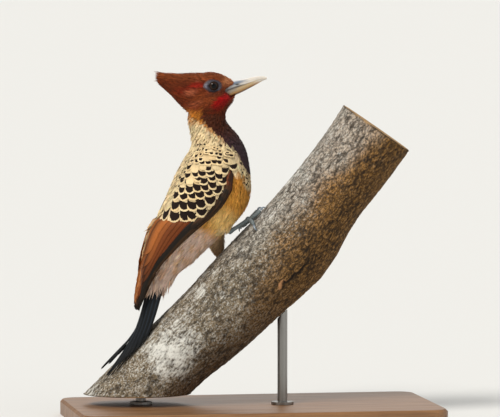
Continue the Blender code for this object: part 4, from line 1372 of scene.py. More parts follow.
def plate_rows(node):
    """Middle, half width and outer normal of each section of a tail feather's solid."""
    points = points_of([node])
    centre = points.mean(0)
    axis = np.linalg.svd(points - centre)[2][0]
    axis = axis * (-1 if axis[2] > 0 else 1)
    order = np.argsort((points - centre) @ axis)
    rows = []
    for group in np.split(order, len(points) // RECTRIX_POINTS):
        ring = points[group]
        middle = ring.mean(0)
        across = np.linalg.svd(ring - middle)[2][0]
        across = across * (1 if across[1] > 0 else -1)
        thin = unit(np.cross(axis, across))
        thin = thin * (1 if thin[0] < 0 else -1)
        spread = (ring - middle) @ across
        rows.append(np.hstack([middle + thin * 0.4, across * (spread.max() - spread.min()) / 2, thin]))
    return np.array(rows)


def lay_rectrices(material):
    """Ten stiff tail feathers laid over one another like roof tiles."""
    look = bpy.context.scene.woodpecker_plumage
    v, u = np.meshgrid(np.linspace(0, 1, RECTRIX_ROWS), np.linspace(-1, 1, RECTRIX_COLUMNS), indexing="ij")
    for side, label in SIDES.items():
        for number in range(1, 6):
            node = f"tail_{label}_{number}"
            rows = plate_rows(node)
            rows = np.vstack([rows[0] - 2.0 * (rows[1] - rows[0]) * (np.arange(9) < 3), rows])
            at = curve(rows, np.linspace(0, len(rows) - 1, RECTRIX_ROWS))
            middle, half, normal = (at[:, None, k:k + 3] for k in (0, 3, 6))
            wide = 1.0 + 0.35 * (1 - soft_step(v, 0.75, 1.0))
            lift = 0.12 * (5 - number) + 0.22 * np.exp(-(u / 0.09) ** 2) - 0.25 * u**2
            points = middle + half * (u * wide)[..., None] + unit(normal) * lift[..., None]
            onward = unit(at[-1, :3] - at[-2, :3])
            stray = TAIL_STRAY.get((label, number), 0.0) * soft_step(v, 0.35, 1.0) ** 2
            points = points + stray[..., None] * np.array((-0.8, 0.0, 0.6))
            split = np.abs(np.sin(u * 9.0 + number)) * 1.6 + 1.4 * u**2
            points = points - onward * (split * soft_step(v, 0.9, 1.0))[..., None]
            # Bluish shine along the upper side of each tail feather: painted sheen.
            shine = 0.5 * np.exp(-((u * side + 0.2) / 0.4) ** 2) * (1 - soft_step(v, 0.55, 0.9))
            colours = toward(np.array(look.tail), TAIL_SHEEN_BLUE, shine[..., None] * 0.5)
            quills = Quills()
            quills.add(points, colours)
            made = quills.build(f"rectrix_{label}_{number}", material, 0.3, unit(normal).mean((0, 1)))
            piece(made, "tail_feathers", node)


# ---------------------------------------------------------------- head

# Bill outline as (x, z) points from inside the face to the chisel tip
CULMEN = ((-24.5, 265.4), (-19.0, 266.8), (-12.8, 268.0), (-5.6, 269.4), (2.4, 270.9), (8.0, 271.4),
          (11.6, 270.7))
TOMIUM = ((-24.5, 259.6), (-20.5, 260.9), (-12.8, 263.3), (-9.6, 264.3), (-1.6, 266.6), (6.4, 268.7),
          (11.6, 269.7))
GONYS = ((-24.5, 252.0), (-20.5, 253.8), (-16.0, 255.6), (-9.6, 258.1), (-3.2, 261.3), (3.2, 264.7),
         (11.6, 268.7))
BILL_WIDTH = ((-24.5, 8.8), (-20.5, 7.4), (-16.0, 6.0), (-13.0, 5.3), (-5.0, 3.9), (3.0, 2.6), (8.0, 1.7),
              (11.6, 1.1))
# Where the face's feathers stop, as (z, x): the bare corner of the gape reaches furthest back
GAPE = ((253.5, -15.0), (255.5, -17.7), (258.5, -20.6), (260.2, -23.0), (261.6, -22.0), (263.4, -19.0),
        (266.0, -14.6), (268.5, -12.0))
BILL_ROWS, BILL_COLUMNS = 56, 33
NOSTRIL = (-12.6, 265.0)


def along_line(line, x):
    """Height of a sparse (x, z) line at x, smoothed over its points."""
    line = np.asarray(line, float)
    return curve(line[:, 1:], np.interp(x, line[:, 0], np.arange(len(line))))[..., 0]


def bill_half(name, upper, material):
    """One half of the bill, with its ridges, nostrils and cutting edge."""
    head = bpy.context.scene.woodpecker_head
    turn = np.sin(np.linspace(0, 1, BILL_ROWS) * math.pi / 2)
    x = (CULMEN[0][0] + (CULMEN[-1][0] - CULMEN[0][0]) * turn)[:, None]
    lip = along_line(TOMIUM, x) + (0.08 if upper else -0.08)
    ridge = along_line(CULMEN if upper else GONYS, x)
    width = along_line(BILL_WIDTH, x)
    t = np.linspace(0, math.pi, BILL_COLUMNS)[None]
    y = np.sign(np.cos(t)) * np.abs(np.cos(t)) ** 0.9 * width
    high = np.sin(t) ** 0.85
    z = lip + (ridge - lip) * high
    fade = soft_step(11 - x, 0, 8)
    if upper:
        keel = np.exp(-((high - 0.55) / 0.13) ** 2) - 0.8 * np.exp(-((high - 0.3) / 0.12) ** 2)
        y = y * (1 + 0.055 * keel * fade * soft_step(x, -20, -14))
        hole = np.exp(-((x - NOSTRIL[0]) / 1.7) ** 2 - ((z - NOSTRIL[1]) / 0.55) ** 2)
        y = y * (1 - 0.22 * hole)
    else:
        hole = np.zeros_like(z)
        y = y * (1 + 0.04 * np.exp(-((high - 0.35) / 0.15) ** 2) * fade)
    points = np.stack([np.broadcast_to(x, y.shape), y, z], -1)

    ivory, slate, horn = (np.array(c) for c in (head.ivory, head.slate, head.horn))
    colour = np.broadcast_to(ivory, points.shape).copy()

    def lay(new, mask):
        colour[:] = toward(colour, new, np.broadcast_to(mask, y.shape)[..., None])

    if upper:
        lay(slate, 0.9 * (1 - soft_step(x, -12, -1)) * soft_step(high, 0.3, 0.6)
            * (1 - 0.8 * soft_step(high, 0.8, 0.97)))
        lay(slate, 0.45 * (1 - soft_step(x, -14, -8)))
        lay(BILL_BUFF, 0.35 * (1 - soft_step(high, 0.0, 0.35)) * soft_step(x, -6, 4))
        # The nostril's hollow is darkened: painted shade.
        lay(NOSTRIL_SHADE, 0.95 * hole)
    else:
        lay(horn, 0.8 * (1 - soft_step(x, -2, 7)))
        lay(BILL_GOLD, 0.75 * soft_step(high, 0.3, 0.8) * (1 - soft_step(x, 2, 10)))
        # Dark brown along the lower half's underside: painted shade under the bill.
        lay(BILL_UNDERSIDE_SHADE, 0.9 * soft_step(high, 0.62, 0.86) * (1 - soft_step(x, -2, 6)))
        lay(slate, 0.5 * (1 - soft_step(x, -16, -10)) * (1 - soft_step(high, 0.2, 0.7)))
    # Dark along the slit between the two halves and at the root under the face feathers: painted shade.
    dark = (1 - soft_step(high, 0.04, 0.2)) * (1 - soft_step(x, -12, 0)) * 0.9
    lay(BILL_SLIT_SHADE, np.maximum(dark, 0.8 * (1 - soft_step(x, -22.5, -17.5))))
    lay(BILL_TIP, 0.5 * soft_step(x, 7, 11))

    faces = ring_faces(BILL_ROWS, BILL_COLUMNS)
    faces.append(tuple(range(BILL_COLUMNS)))
    faces.append(tuple(range((BILL_ROWS - 1) * BILL_COLUMNS, BILL_ROWS * BILL_COLUMNS)))
    mesh = oriented(mesh_of(name, points.reshape(-1, 3), faces))
    mesh.set_sharp_from_angle(angle=math.radians(60))
    store(mesh, "tint", colour.reshape(-1, 3), "FLOAT_COLOR")
    return new_object(name, mesh, material)


def bill_material():
    """Waxy horn with faint growth lines along the bill."""
    fresh = Finish("bill_horn", 0.34, Subsurface_Weight=0.15, Subsurface_Radius=(0.9, 0.6, 0.35),
                   Subsurface_Scale=0.0015, Coat_Weight=0.25, Coat_Roughness=0.2)
    x, y, z = fresh.parts(fresh.place())
    stretched = fresh.whole(x * 0.16, y, z - x * 0.16)
    lines = fresh.noise(stretched, 0.55, 4.0)
    cloud = fresh.noise(fresh.place(), 3.0, 2.0)
    dim = 1 - 0.28 * (lines - 0.45) - 0.18 * (cloud - 0.5)
    fresh.feed("Base Color", fresh.dimmed(fresh.attribute("tint", "Color"), dim))
    fresh.feed("Roughness", 0.26 + 0.25 * lines)
    fresh.bump(lines, 0.06, 0.6)
    return fresh.material


def ball(name, centre, radius, side, rows=26, columns=56):
    """A ball whose poles look sideways, with its front a little domed."""
    tilt = np.linspace(0, math.pi, rows + 2)[1:-1][:, None]
    turn = np.linspace(0, 2 * math.pi, columns, endpoint=False)[None]
    dome = 1 + 0.05 * np.exp(-(tilt / 0.55) ** 2)
    points = np.stack([
        centre[0] + radius * np.sin(tilt) * np.cos(turn),
        side * (centre[1] + radius * np.cos(tilt) * dome) + 0 * turn,
        centre[2] + radius * np.sin(tilt) * np.sin(turn),
    ], -1).reshape(-1, 3)
    faces = ring_faces(rows, columns)
    front, back = len(points), len(points) + 1
    points = np.vstack([points, (centre[0], side * (centre[1] + radius * 1.05), centre[2]),
                        (centre[0], side * (centre[1] - radius), centre[2])])
    for column in range(columns):
        after = (column + 1) % columns
        faces.append((front, after, column))
        faces.append((back, (rows - 1) * columns + column, (rows - 1) * columns + after))
    if side > 0:
        faces = [face[::-1] for face in faces]
    return new_object(name, oriented(mesh_of(name, points, faces)))


def eye_material():
    """Dark iris and black pupil under a wet clear surface."""
    head = bpy.context.scene.woodpecker_head
    fresh = Finish("eye_glass", 0.1, Coat_Weight=0.25, Coat_Roughness=0.04, Specular_IOR_Level=0.02)
    x, _, z = fresh.parts(fresh.place())
    dx, dz = x - EYE_CENTRE[0] * MM, z - EYE_CENTRE[2] * MM
    gap = fresh.apart(dx, dz) / MM
    turn = fresh.maths("ARCTAN2", dz, dx)
    rays = fresh.noise(fresh.whole(turn * 0.004, gap * 0.0002, 0.0), 0.35, 2.0)
    ring = fresh.blend(rays, shaded(head.iris, 0.5), shaded(head.iris, 1.7))
    pupil = 1 - fresh.rise(gap, 1.75, 2.0)
    rim = fresh.rise(gap, 3.2, 3.7)
    fresh.feed("Base Color", fresh.blend(rim, fresh.blend(pupil, ring, PUPIL), EYE_RIM))
    return fresh.material


LID_STEPS = 72
# Lid profile: share of the way from the opening to the outer edge, and height over the base
LID_PROFILE = ((-0.16, -0.35), (-0.04, 0.10), (0.02, 0.42), (0.12, 0.52), (0.22, 0.30), (0.30, 0.16),
               (0.40, 0.34), (0.50, 0.36), (0.60, 0.16), (0.70, 0.22), (0.80, 0.20), (0.90, 0.05),
               (1.05, -0.35), (1.25, -1.2))


def lids(name, hide, side, material):
    """Bare skin round an eye: a rolled lid edge, fine folds and a point towards the nape."""
    head = bpy.context.scene.woodpecker_head
    radius, opening = head.eye_radius / MM, head.opening / MM
    turns = np.linspace(0, 2 * math.pi, LID_STEPS, endpoint=False)
    back = np.exp(-((turns - math.pi) / 0.30) ** 2)
    outer = 1 / np.hypot(np.cos(turns) / 6.5, np.sin(turns) / 4.95) + 1.0 * back
    slit = opening * (1 - 0.05 * np.abs(np.sin(turns)) + 0.10 * back + 0.03 * np.cos(turns))
    rim_height = EYE_CENTRE[1] + math.sqrt(radius**2 - opening**2)
    rings = []
    x = EYE_CENTRE[0] + outer * np.cos(turns)
    z = EYE_CENTRE[2] + outer * np.sin(turns)
    base = np.abs(hide.surface.from_side(x, z, side))
    base = np.where(np.isnan(base), np.nanmean(base), base)
    base = (base + np.roll(base, 1) + np.roll(base, -1)) / 3
    crease = 0.10 * np.sin(turns * 17 + 1) + 0.07 * np.sin(turns * 29)
    for share, height in LID_PROFILE:
        reach = slit + (outer - slit) * share
        x = EYE_CENTRE[0] + reach * np.cos(turns)
        z = EYE_CENTRE[2] + reach * np.sin(turns)
        inner = EYE_CENTRE[1] + np.sqrt(np.maximum(radius**2 - reach**2, 0.5))
        level = inner if share < 0 else rim_height + (base + 0.6 - rim_height) * soft_step(share, 0, 0.9)
        under = np.abs(hide.surface.from_side(x, z, side))
        under = np.where(np.isnan(under) | (share < 0.15), 0.0, under + 0.35)
        y = np.maximum(level + height, under) + crease * (0.2 < share < 0.9)
        rings.append(np.stack([x, side * y, z], 1))
    points = np.vstack(rings)
    faces = ring_faces(len(rings), LID_STEPS)
    if side < 0:
        faces = [face[::-1] for face in faces]
    mesh = mesh_of(name, points, faces)
    shade = np.repeat([share for share, _ in LID_PROFILE], LID_STEPS)
    dark = 1 - soft_step(shade, 0.0, 0.16)
    pale = np.tile(back, len(LID_PROFILE)) * soft_step(shade, 0.3, 0.6)
    edge = soft_step(shade, 0.72, 1.0)
    # The raised fold is paler, most on the upper half of the ring: painted highlight.
    ridge = np.tile(0.5 + 0.5 * np.sin(turns), len(LID_PROFILE)) * np.exp(-((shade - 0.5) / 0.12) ** 2)
    worn = soft_step(mottle(points, 1.6, 5), -0.3, 0.9)
    tint = np.tile(np.array(head.lid), (len(points), 1))
    for new, mask in ((LID_EDGE, dark), (LID_POINT, 0.6 * pale), (LID_RIDGE_HIGHLIGHT, 0.2 * ridge),
                      (LID_RIM, 0.6 * edge), (LID_WORN, 0.75 * worn)):
        tint = toward(tint, new, mask[:, None])
    store(mesh, "tint", tint, "FLOAT_COLOR")
    return new_object(name, mesh, material)


def skin_material(name, roughness=0.6, fine=0.5):
    """Bare or covered skin in the coat's own colours."""
    fresh = Finish(name, roughness, Specular_IOR_Level=0.35)
    place = fresh.place()
    grain = fresh.noise(place, fine, 3.0)
    pits = fresh.cells(place, fine * 1.4)
    dim = 1 - 0.3 * (grain - 0.5) - 0.15 * pits
    fresh.feed("Base Color", fresh.dimmed(fresh.attribute("tint", "Color"), dim))
    fresh.bump(pits * 0.6 + grain * 0.5, 0.15, 0.5)
    return fresh.material


# ---------------------------------------------------------------- feet

def scute_tree():
    """Geometry Nodes that raise bands of scales at even steps from the foot's middle."""
    tree, net, given = geometry_tree("Scutes", (
        ("Middle", "Vector", (0.0, 0.0, 0.0)), ("Step", "Float", 1.25 * MM), ("Height", "Float", 0.22 * MM)))
    place = net.node("GeometryNodeInputPosition")
    gap = net.vector("DISTANCE", place, given["Middle"], out="Value")
    wobble = net.noise(place, 2.5, 1.0) - 0.5
    phase = net.maths("FRACT", gap / given["Step"] + wobble * 0.8)
    band = net.rise(phase, 0.0, 0.22) * (1 - net.rise(phase, 0.88, 1.0) * 0.9)
    cells = net.cells(place, 1.0, "DISTANCE_TO_EDGE")
    height = (band * 0.8 + net.rise(cells, 0.0, 0.2) * 0.35 - 0.7) * given["Height"]
    moved = net.moved(given["Geometry"], net.scaled(net.node("GeometryNodeInputNormal"), height))
    net.node("NodeGroupOutput", None, {0: net.stored(moved, "raised", band)})
    return tree


def foot_material():
    """Horny scales with darker skin in the grooves."""
    feet = bpy.context.scene.woodpecker_feet
    fresh = Finish("leg_scales", 0.48, Specular_IOR_Level=0.45)
    raised = fresh.attribute("raised")
    place = fresh.place()
    cloud = fresh.noise(place, 3.0, 2.0)
    colour = fresh.blend(fresh.rise(raised, 0.1, 0.8), feet.groove, feet.leg)
    dim = 0.72 + 0.55 * cloud
    fresh.feed("Base Color", fresh.dimmed(colour, dim))
    fresh.bump(fresh.noise(place, 0.4, 2.0), 0.08, 0.6)
    return fresh.material


def claw_material():
    """Smooth blue-grey horn with cloudy lighter and darker patches."""
    feet = bpy.context.scene.woodpecker_feet
    fresh = Finish("claw_horn", 0.28, Coat_Weight=0.3, Coat_Roughness=0.2)
    cloud = fresh.noise(fresh.place(), 1.6, 3.0)
    fresh.feed("Base Color", fresh.blend(cloud, shaded(feet.claw, 0.55), shaded(feet.claw, 1.25)))
    fresh.bump(cloud, 0.05, 0.4)
    return fresh.material


# ---------------------------------------------------------------- branch and stand

BRANCH_TURN = math.radians(10)  # of the branch's plane from the bird's


def bark_tree():
    """Geometry Nodes that sink cracks and flakes into the branch along its grain."""
    tree, net, given = geometry_tree("Bark", (
        ("Relief", "Float", 0.9 * MM), ("Flake", "Float", 2.8), ("Crack", "Float", 15.0)))
    grain, sawn = net.read("grain"), net.read("sawn", "FLOAT")
    bend = net.noise(grain, 9.0, 2.0, out="Color")
    bent = net.vector("ADD", grain, net.scaled(net.vector("SUBTRACT", bend, (0.5, 0.5, 0.5)), 0.006))
    flakes = net.cells(bent, given["Flake"], "DISTANCE_TO_EDGE")
    cracks = net.cells(bent, given["Crack"], "DISTANCE_TO_EDGE")
    crust = net.noise(bent, 2.6, 3.0, 0.65)
    swell = net.noise(grain, 30.0, 2.0)
    height = (0.20 * net.rise(flakes, 0.0, 0.3) + 0.15 * net.rise(cracks, 0.0, 0.12)
              + 1.1 * (crust - 0.5) + 0.5 * (swell - 0.5) + 0.27)
    depth = net.maths("MINIMUM", height - 0.62, 0.12) * given["Relief"] * 1.4 * (1 - sawn)
    moved = net.moved(given["Geometry"], net.scaled(net.node("GeometryNodeInputNormal"), depth))
    net.node("NodeGroupOutput", None, {0: net.stored(moved, "height", height)})
    return tree


def bark_material():
    """Grey flaky bark with pale crust, dark crevices, a browner stretch and sawn ends, with painted shade on
    the lower-right side and painted light along the upper-left edge.
    """
    look = bpy.context.scene.woodpecker_branch
    fresh = Finish("bark", 0.88, Specular_IOR_Level=0.2)
    place = fresh.place()
    x, y, z = fresh.parts(place)
    height = fresh.attribute("height")
    sawn = fresh.attribute("sawn")
    grain = fresh.attribute("grain", "Vector")
    fine = fresh.noise(grain, 1.3, 4.0, 0.7)
    up = z * 0.72 + x * 0.69
    side = x * 0.69 - z * 0.72
    drift = (fresh.noise(place, 22.0, 2.0) - 0.5) * 0.03
    # Darker and browner on the lower-right side, away from the light: painted shade.
    shade = fresh.rise(side + up * 0.11 + drift, -0.082, -0.054)
    # Golden-brown tone over the same shaded side towards the upper end: painted shade.
    golden_shade = fresh.rise(side + up * 0.26 + drift, -0.078, -0.044) * fresh.rise(up, 0.03, 0.11)
    middle = fresh.noise(grain, 7.0, 3.0, 0.6)
    large = fresh.noise(place, 34.0, 3.0, 0.6)
    warm = fresh.rise(up + (large - 0.5) * 0.1, 0.10, 0.17) * fresh.rise(middle, 0.35, 0.6)
    colour = fresh.blend(fresh.rise(middle, 0.3, 0.7), shaded(look.bark, 0.7), look.bark)
    colour = fresh.blend(warm * 0.7, colour, look.warm)
    # Warm dark brown laid over the shaded side: painted shade.
    colour = fresh.blend(shade * 0.75, colour, shaded(look.warm, 0.8))
    colour = fresh.blend(fresh.rise(fine, 0.48, 0.62) * 0.5, colour, BARK_DUST)
    # Speckled golden tone of the painted shade.
    shade_gold = fresh.blend(fresh.rise(fine, 0.35, 0.65), shaded(look.warm, 0.6), BARK_SHADE_GOLD)
    colour = fresh.blend(golden_shade * 0.66, colour, shade_gold)
    # Paler along the upper-left edge, where the light falls: painted light in the lichen's colour.
    pale = (1 - fresh.rise(side + drift * 0.5, -0.110, -0.092)) * fresh.rise(up, 0.06, 0.10)
    colour = fresh.blend(pale * 0.38, colour, shaded(look.lichen, 0.9))
    grit = fresh.noise(place, 1.3, 3.0, 0.7)
    colour = fresh.blend(fresh.rise(0.5 - grit, 0.0, 0.09) * 0.7, colour, look.crevice)
    dx, dz = x + 0.067, z - 0.054
    white = 1 - fresh.rise(fresh.apart(dx, dz, 0.5) + (middle - 0.5) * 0.045, 0.0, 0.030)
    # Less pale crust and fewer specks on the painted shade.
    crust = fresh.rise(large * 0.5 + middle * 0.3 + fine * 0.35 - golden_shade * 0.12 - shade * 0.05
                       + white * 0.15, 0.61, 0.73)
    colour = fresh.blend(crust * 0.86, colour, look.lichen)
    specks = fresh.rise(fresh.noise(place, 1.5, 2.0, 0.6), 0.53, 0.65)
    specks = specks * (1 - golden_shade * 0.8) * (1 - shade * 0.7)
    colour = fresh.blend(specks * 0.6, colour, shaded(look.lichen, 0.85))
    bent = fresh.vector("ADD", grain, fresh.scaled(fresh.noise(grain, 4.0, 2.0, out="Color"), 0.004))
    plates = fresh.cells(bent, 4.6, "DISTANCE_TO_EDGE")
    seams = (1 - fresh.rise(plates, 0.02, 0.12)) * fresh.rise(up, 0.07, 0.12)
    colour = fresh.blend(seams * 0.55, colour, look.crevice)
    # Darker in the sunk hollows of the relief: the bark's own dark fissures together with painted shade.
    hollow_dark_and_shade = (1 - fresh.rise(height, 0.25, 0.5)) * (1 - crust * 0.6)
    colour = fresh.blend(hollow_dark_and_shade * 0.7, colour, look.crevice)
    colour = fresh.blend(fresh.rise(0.52 - fine, 0.06, 0.2) * 0.5, colour, look.crevice)
    # The shaded side is dimmed as a whole: painted shade.
    colour = fresh.dimmed(colour, 1 - shade * 0.38)
    near = 1 - fresh.rise(y, -0.004, 0.0)
    wander = (fresh.noise(place, 7.0, 3.0) - 0.5) * 0.010
    split = 1 - fresh.rise(fresh.maths("ABSOLUTE", side + 0.0655 + wander), 0.0006, 0.0030)
    split = split * fresh.rise(up, 0.087, 0.093) * (1 - fresh.rise(up, 0.112, 0.124))
    chip = 1 - fresh.rise(fresh.apart(up - 0.090, side + 0.0675 + wander, 0.12), 0.0008, 0.0022)
    colour = fresh.blend(chip * near * 0.7, colour, BARE_WOOD)
    colour = fresh.blend(split * near * 0.9, colour, shaded(look.crevice, 0.4))
    gap = fresh.vector("LENGTH", fresh.attribute("ring", "Vector"), out="Value")
    wander = gap + (fresh.noise(place, 16.0, 2.0) - 0.5) * 0.005
    rings = fresh.rise(fresh.maths("FRACT", wander / 0.0027), 0.35, 1.0)
    wood = fresh.blend(rings * 0.7 + fine * 0.2, look.wood, shaded(look.wood, 0.42))
    wood = fresh.blend((1 - fresh.rise(wander, 0.006, 0.012)) * 0.5, wood, shaded(look.wood, 0.4))
    wood = fresh.blend(fresh.rise(wander, 0.0300, 0.0320) * 0.85, wood, look.crevice)
    fresh.feed("Base Color", fresh.blend(sawn, colour, wood))
    fresh.bump(fine * 0.9 + crust * 0.4 + middle * 0.3, 0.7, 0.8)
    return fresh.material


def oak_material():
    """Waxed oak: long grain, pores and slow bands of colour."""
    look = bpy.context.scene.woodpecker_stand
    fresh = Finish("oak", 0.42, Coat_Weight=0.15, Coat_Roughness=0.3)
    x, y, z = fresh.parts(fresh.place())
    long = fresh.whole(x * 0.07, y, z * 0.8)
    bands = fresh.noise(long, 7.0, 4.0, 0.55)
    pores = fresh.noise(fresh.whole(x * 0.05, y, z), 0.7, 2.0)
    figure = fresh.maths("SINE", (y / MM + bands * 26) * 0.55) * 0.5 + 0.5
    colour = fresh.blend(figure * 0.45 + bands * 0.35, look.oak, look.grain)
    colour = fresh.blend(fresh.rise(pores, 0.58, 0.70) * 0.55, colour, look.grain)
    fresh.feed("Base Color", colour)
    fresh.feed("Roughness", 0.34 + 0.22 * bands)
    fresh.bump(pores + figure * 0.3, 0.12, 0.4)
    return fresh.material


def steel_material():
    """Brushed steel with fine lengthwise lines."""
    look = bpy.context.scene.woodpecker_stand
    fresh = Finish("steel", 0.32, Metallic=1.0)
    x, y, z = fresh.parts(fresh.place())
    lines = fresh.noise(fresh.whole(x, y, z * 0.04), 0.35, 3.0)
    fresh.feed("Base Color", fresh.blend(lines, shaded(look.steel, 0.8), shaded(look.steel, 1.15)))
    fresh.feed("Roughness", 0.22 + 0.22 * lines)
    fresh.bump(lines, 0.02, 0.4)
    return fresh.material


# ---------------------------------------------------------------- operators

MADE = {}  # what one operator leaves for the next


def piece(made, slot, *nodes):
    """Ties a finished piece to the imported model."""
    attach(made, "root")
    if nodes:
        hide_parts(*nodes)
    return made


def hide_made():
    if "hide" not in MADE:
        raise RuntimeError("build the skin first")
    return MADE["hide"]


def feathers_made():
    """The feather tree and materials, made on first use."""
    if "tree" not in MADE:
        MADE["tree"] = feather_tree()
        MADE["soft"] = feather_material("feather_soft")
        MADE["fine"] = feather_material("feather_fine", barbs=0.25)
        MADE["covert"] = feather_material("feather_covert", barbs=0.10)
        MADE["glossy"] = feather_material("feather_glossy", barbs=0.15, roughness=0.6)
    return MADE["tree"]


class WOODPECKER_OT_skin(bpy.types.Operator):
    """Merge the solids of flesh into one skin that lies inside them by the coat's depth"""

    bl_idname = "woodpecker.skin"
    bl_label = "Skin"

    def execute(self, context):
        hide = Hide()
        MADE["hide"] = hide
        dress(hide.object, skin_material("skin_coat", 0.8, 0.8))
        piece(hide.object, "body_feathers", *(name for name in FLESH if not name.endswith("flight")))
        return {"FINISHED"}


class TractOperator:
    """Shared by the operators that lay tracts of small feathers."""

    tracts = ()
    finish = "soft"

    def execute(self, context):
        hide = hide_made()
        tree = feathers_made()
        masks = tract_masks(hide)
        for name in self.tracts:
            kind = "glossy" if name == "bib" else self.finish
            lay_tract(hide, tree, MADE[kind], name, masks[name], list(TRACTS).index(name))
        return {"FINISHED"}


class WOODPECKER_OT_head_plumage(TractOperator, bpy.types.Operator):
    """Lay the feathers of the face, crown, cheeks and crest"""

    bl_idname = "woodpecker.head_plumage"
    bl_label = "Head plumage"
    tracts = ("face", "nares", "crown", "cheek", "crest")
    finish = "fine"


class WOODPECKER_OT_body_plumage(TractOperator, bpy.types.Operator):
    """Lay the feathers of the neck, bib, mantle, belly, vent and legs"""

    bl_idname = "woodpecker.body_plumage"
    bl_label = "Body plumage"
    tracts = ("bib", "nape", "mantle", "belly", "vent", "leg", "rump", "wing")


class WOODPECKER_OT_coverts(bpy.types.Operator):
    """Lay the rows of barred coverts over both wings"""

    bl_idname = "woodpecker.coverts"
    bl_label = "Wing coverts"

    def execute(self, context):
        hide, tree = hide_made(), feathers_made()
        for side in SIDES:
            lay_coverts(hide, tree, MADE["covert"], side)
        return {"FINISHED"}


class WOODPECKER_OT_flight(bpy.types.Operator):
    """Lay the long feathers of the wings and the tail"""

    bl_idname = "woodpecker.flight"
    bl_label = "Flight and tail feathers"

    def execute(self, context):
        inner = quill_material("flight_chestnut", 0.6, 0.03, 0.14)
        outer = quill_material("flight_dark", 0.55, 0.02, 0.2)
        for side in SIDES:
            lay_remiges(hide_made(), inner, outer, side)
        lay_rectrices(quill_material("tail_black", 0.5, 0.02, 0.3))
        return {"FINISHED"}


class WOODPECKER_OT_bill(bpy.types.Operator):
    """Shape both halves of the bill"""

    bl_idname = "woodpecker.bill"
    bl_label = "Bill"

    def execute(self, context):
        horn = bill_material()
        for upper, label in ((True, "upper"), (False, "lower")):
            piece(bill_half(f"bill_{label}_horn", upper, horn), "bill_horn", f"bill_{label}")
        return {"FINISHED"}


class WOODPECKER_OT_eyes(bpy.types.Operator):
    """Set the eyes and fold the bare skin round them"""

    bl_idname = "woodpecker.eyes"
    bl_label = "Eyes and lids"

    def execute(self, context):
        hide = hide_made()
        glass, bare = eye_material(), skin_material("lid_skin", 0.5, 0.35)
        radius = context.scene.woodpecker_head.eye_radius / MM
        for side, label in SIDES.items():
            made = ball(f"eyeball_{label}", EYE_CENTRE, radius, side)
            dress(made, glass)
            piece(made, "eye_glass", f"eye_{label}")
            piece(lids(f"lids_{label}", hide, side, bare), "head_feathers")
        return {"FINISHED"}


class WOODPECKER_OT_feet(bpy.types.Operator):
    """Scale the shanks and toes and smooth the claws"""

    bl_idname = "woodpecker.feet"
    bl_label = "Feet"

    def execute(self, context):
        tree, scales, horn = scute_tree(), foot_material(), claw_material()
        for label in SIDES.values():
            made = new_object(f"scales_{label}", merged_copy("scales", [f"foot_{label}"], 0.22), scales)
            remeshed(made, 0.34 * MM)
            points = relaxed(arrays(made.data)[0], edges_of(made.data), 4)
            set_points(made.data, points)
            claws = [f"claw_{label}_{toe}" for toe in ("inner", "middle", "outer", "hind")]
            middle = sum((Vector(corner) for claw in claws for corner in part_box(claw)), Vector()) / 8
            nodes = made.modifiers.new("Scutes", "NODES")
            nodes.node_group = tree
            set_input(nodes, "Middle", tuple(middle))
            applied(made)
            dress(made, scales)
            piece(made, "leg_scales", f"foot_{label}")
            claw = new_object(f"claws_{label}", merged_copy("claws", claws, 0.14), horn)
            remeshed(claw, 0.16 * MM, len(claws))
            set_points(claw.data, relaxed(arrays(claw.data)[0], edges_of(claw.data), 5))
            piece(claw, "claw_horn", *claws)
        return {"FINISHED"}


class WOODPECKER_OT_branch(bpy.types.Operator):
    """Cover the branch with bark"""

    bl_idname = "woodpecker.branch"
    bl_label = "Branch"

    def execute(self, context):
        look = context.scene.woodpecker_branch
        made = new_object("branch_bark", merged_copy("branch_bark", ["perch"]))
        remeshed(made, look.voxel)
        mesh = made.data
        points, edges = arrays(mesh)[0], edges_of(mesh)
        low = points[:, 2].min()
        foot = points[:, 2] < low + 0.5
        along = unit((points[points[:, 2] > points[:, 2].max() - 30].mean(0)
                      - points[points[:, 2] < low + 10].mean(0)))
        end = unit(np.array((0.57 * math.cos(BRANCH_TURN), -0.57 * math.sin(BRANCH_TURN), 0.82)))
        reach = points @ end
        cut = reach > reach.max() - 0.9
        sawn = np.maximum(foot, cut).astype(float)
        rounded = relaxed(points, edges, 25)
        rim = relaxed(sawn[:, None] * np.ones((1, 3)), edges, 3)[:, :1]
        points = toward(rounded, points, np.minimum(rim * 3, 1))
        set_points(mesh, points)
        far = unit(np.cross(along, (0, 0, 1.0)))
        up = np.cross(far, along)
        grain = np.stack([points @ along * 0.5, points @ far, points @ up], 1) * MM
        store(mesh, "grain", grain, "FLOAT_VECTOR")
        store(mesh, "sawn", sawn)
        top = points[reach > reach.max() - 0.9]
        bottom = points[points[:, 2] < low + 0.5]
        heart = np.where((points[:, 2] > 100)[:, None], top.mean(0), bottom.mean(0))
        store(mesh, "ring", (points - heart) * MM, "FLOAT_VECTOR")
        nodes = made.modifiers.new("Bark", "NODES")
        nodes.node_group = bark_tree()
        set_input(nodes, "Relief", look.relief)
        applied(made)
        dress(made, bark_material())
        piece(made, "bark", "perch")
        return {"FINISHED"}


class WOODPECKER_OT_stand(bpy.types.Operator):
    """Give the base and rods their finishes"""

    bl_idname = "woodpecker.stand"
    bl_label = "Stand"

    def execute(self, context):
        oak, steel = oak_material(), steel_material()
        for name, finish in (("stand_base", oak), ("stand_rod_low", steel), ("stand_rod_high", steel)):
            dress(NODES[name], finish)
        return {"FINISHED"}


CAMERA_TARGET = (-0.00158, 0.00028, 0.1668)  # metres
FLOOR_RADIUS, FLOOR_CORNERS = 80000, 64
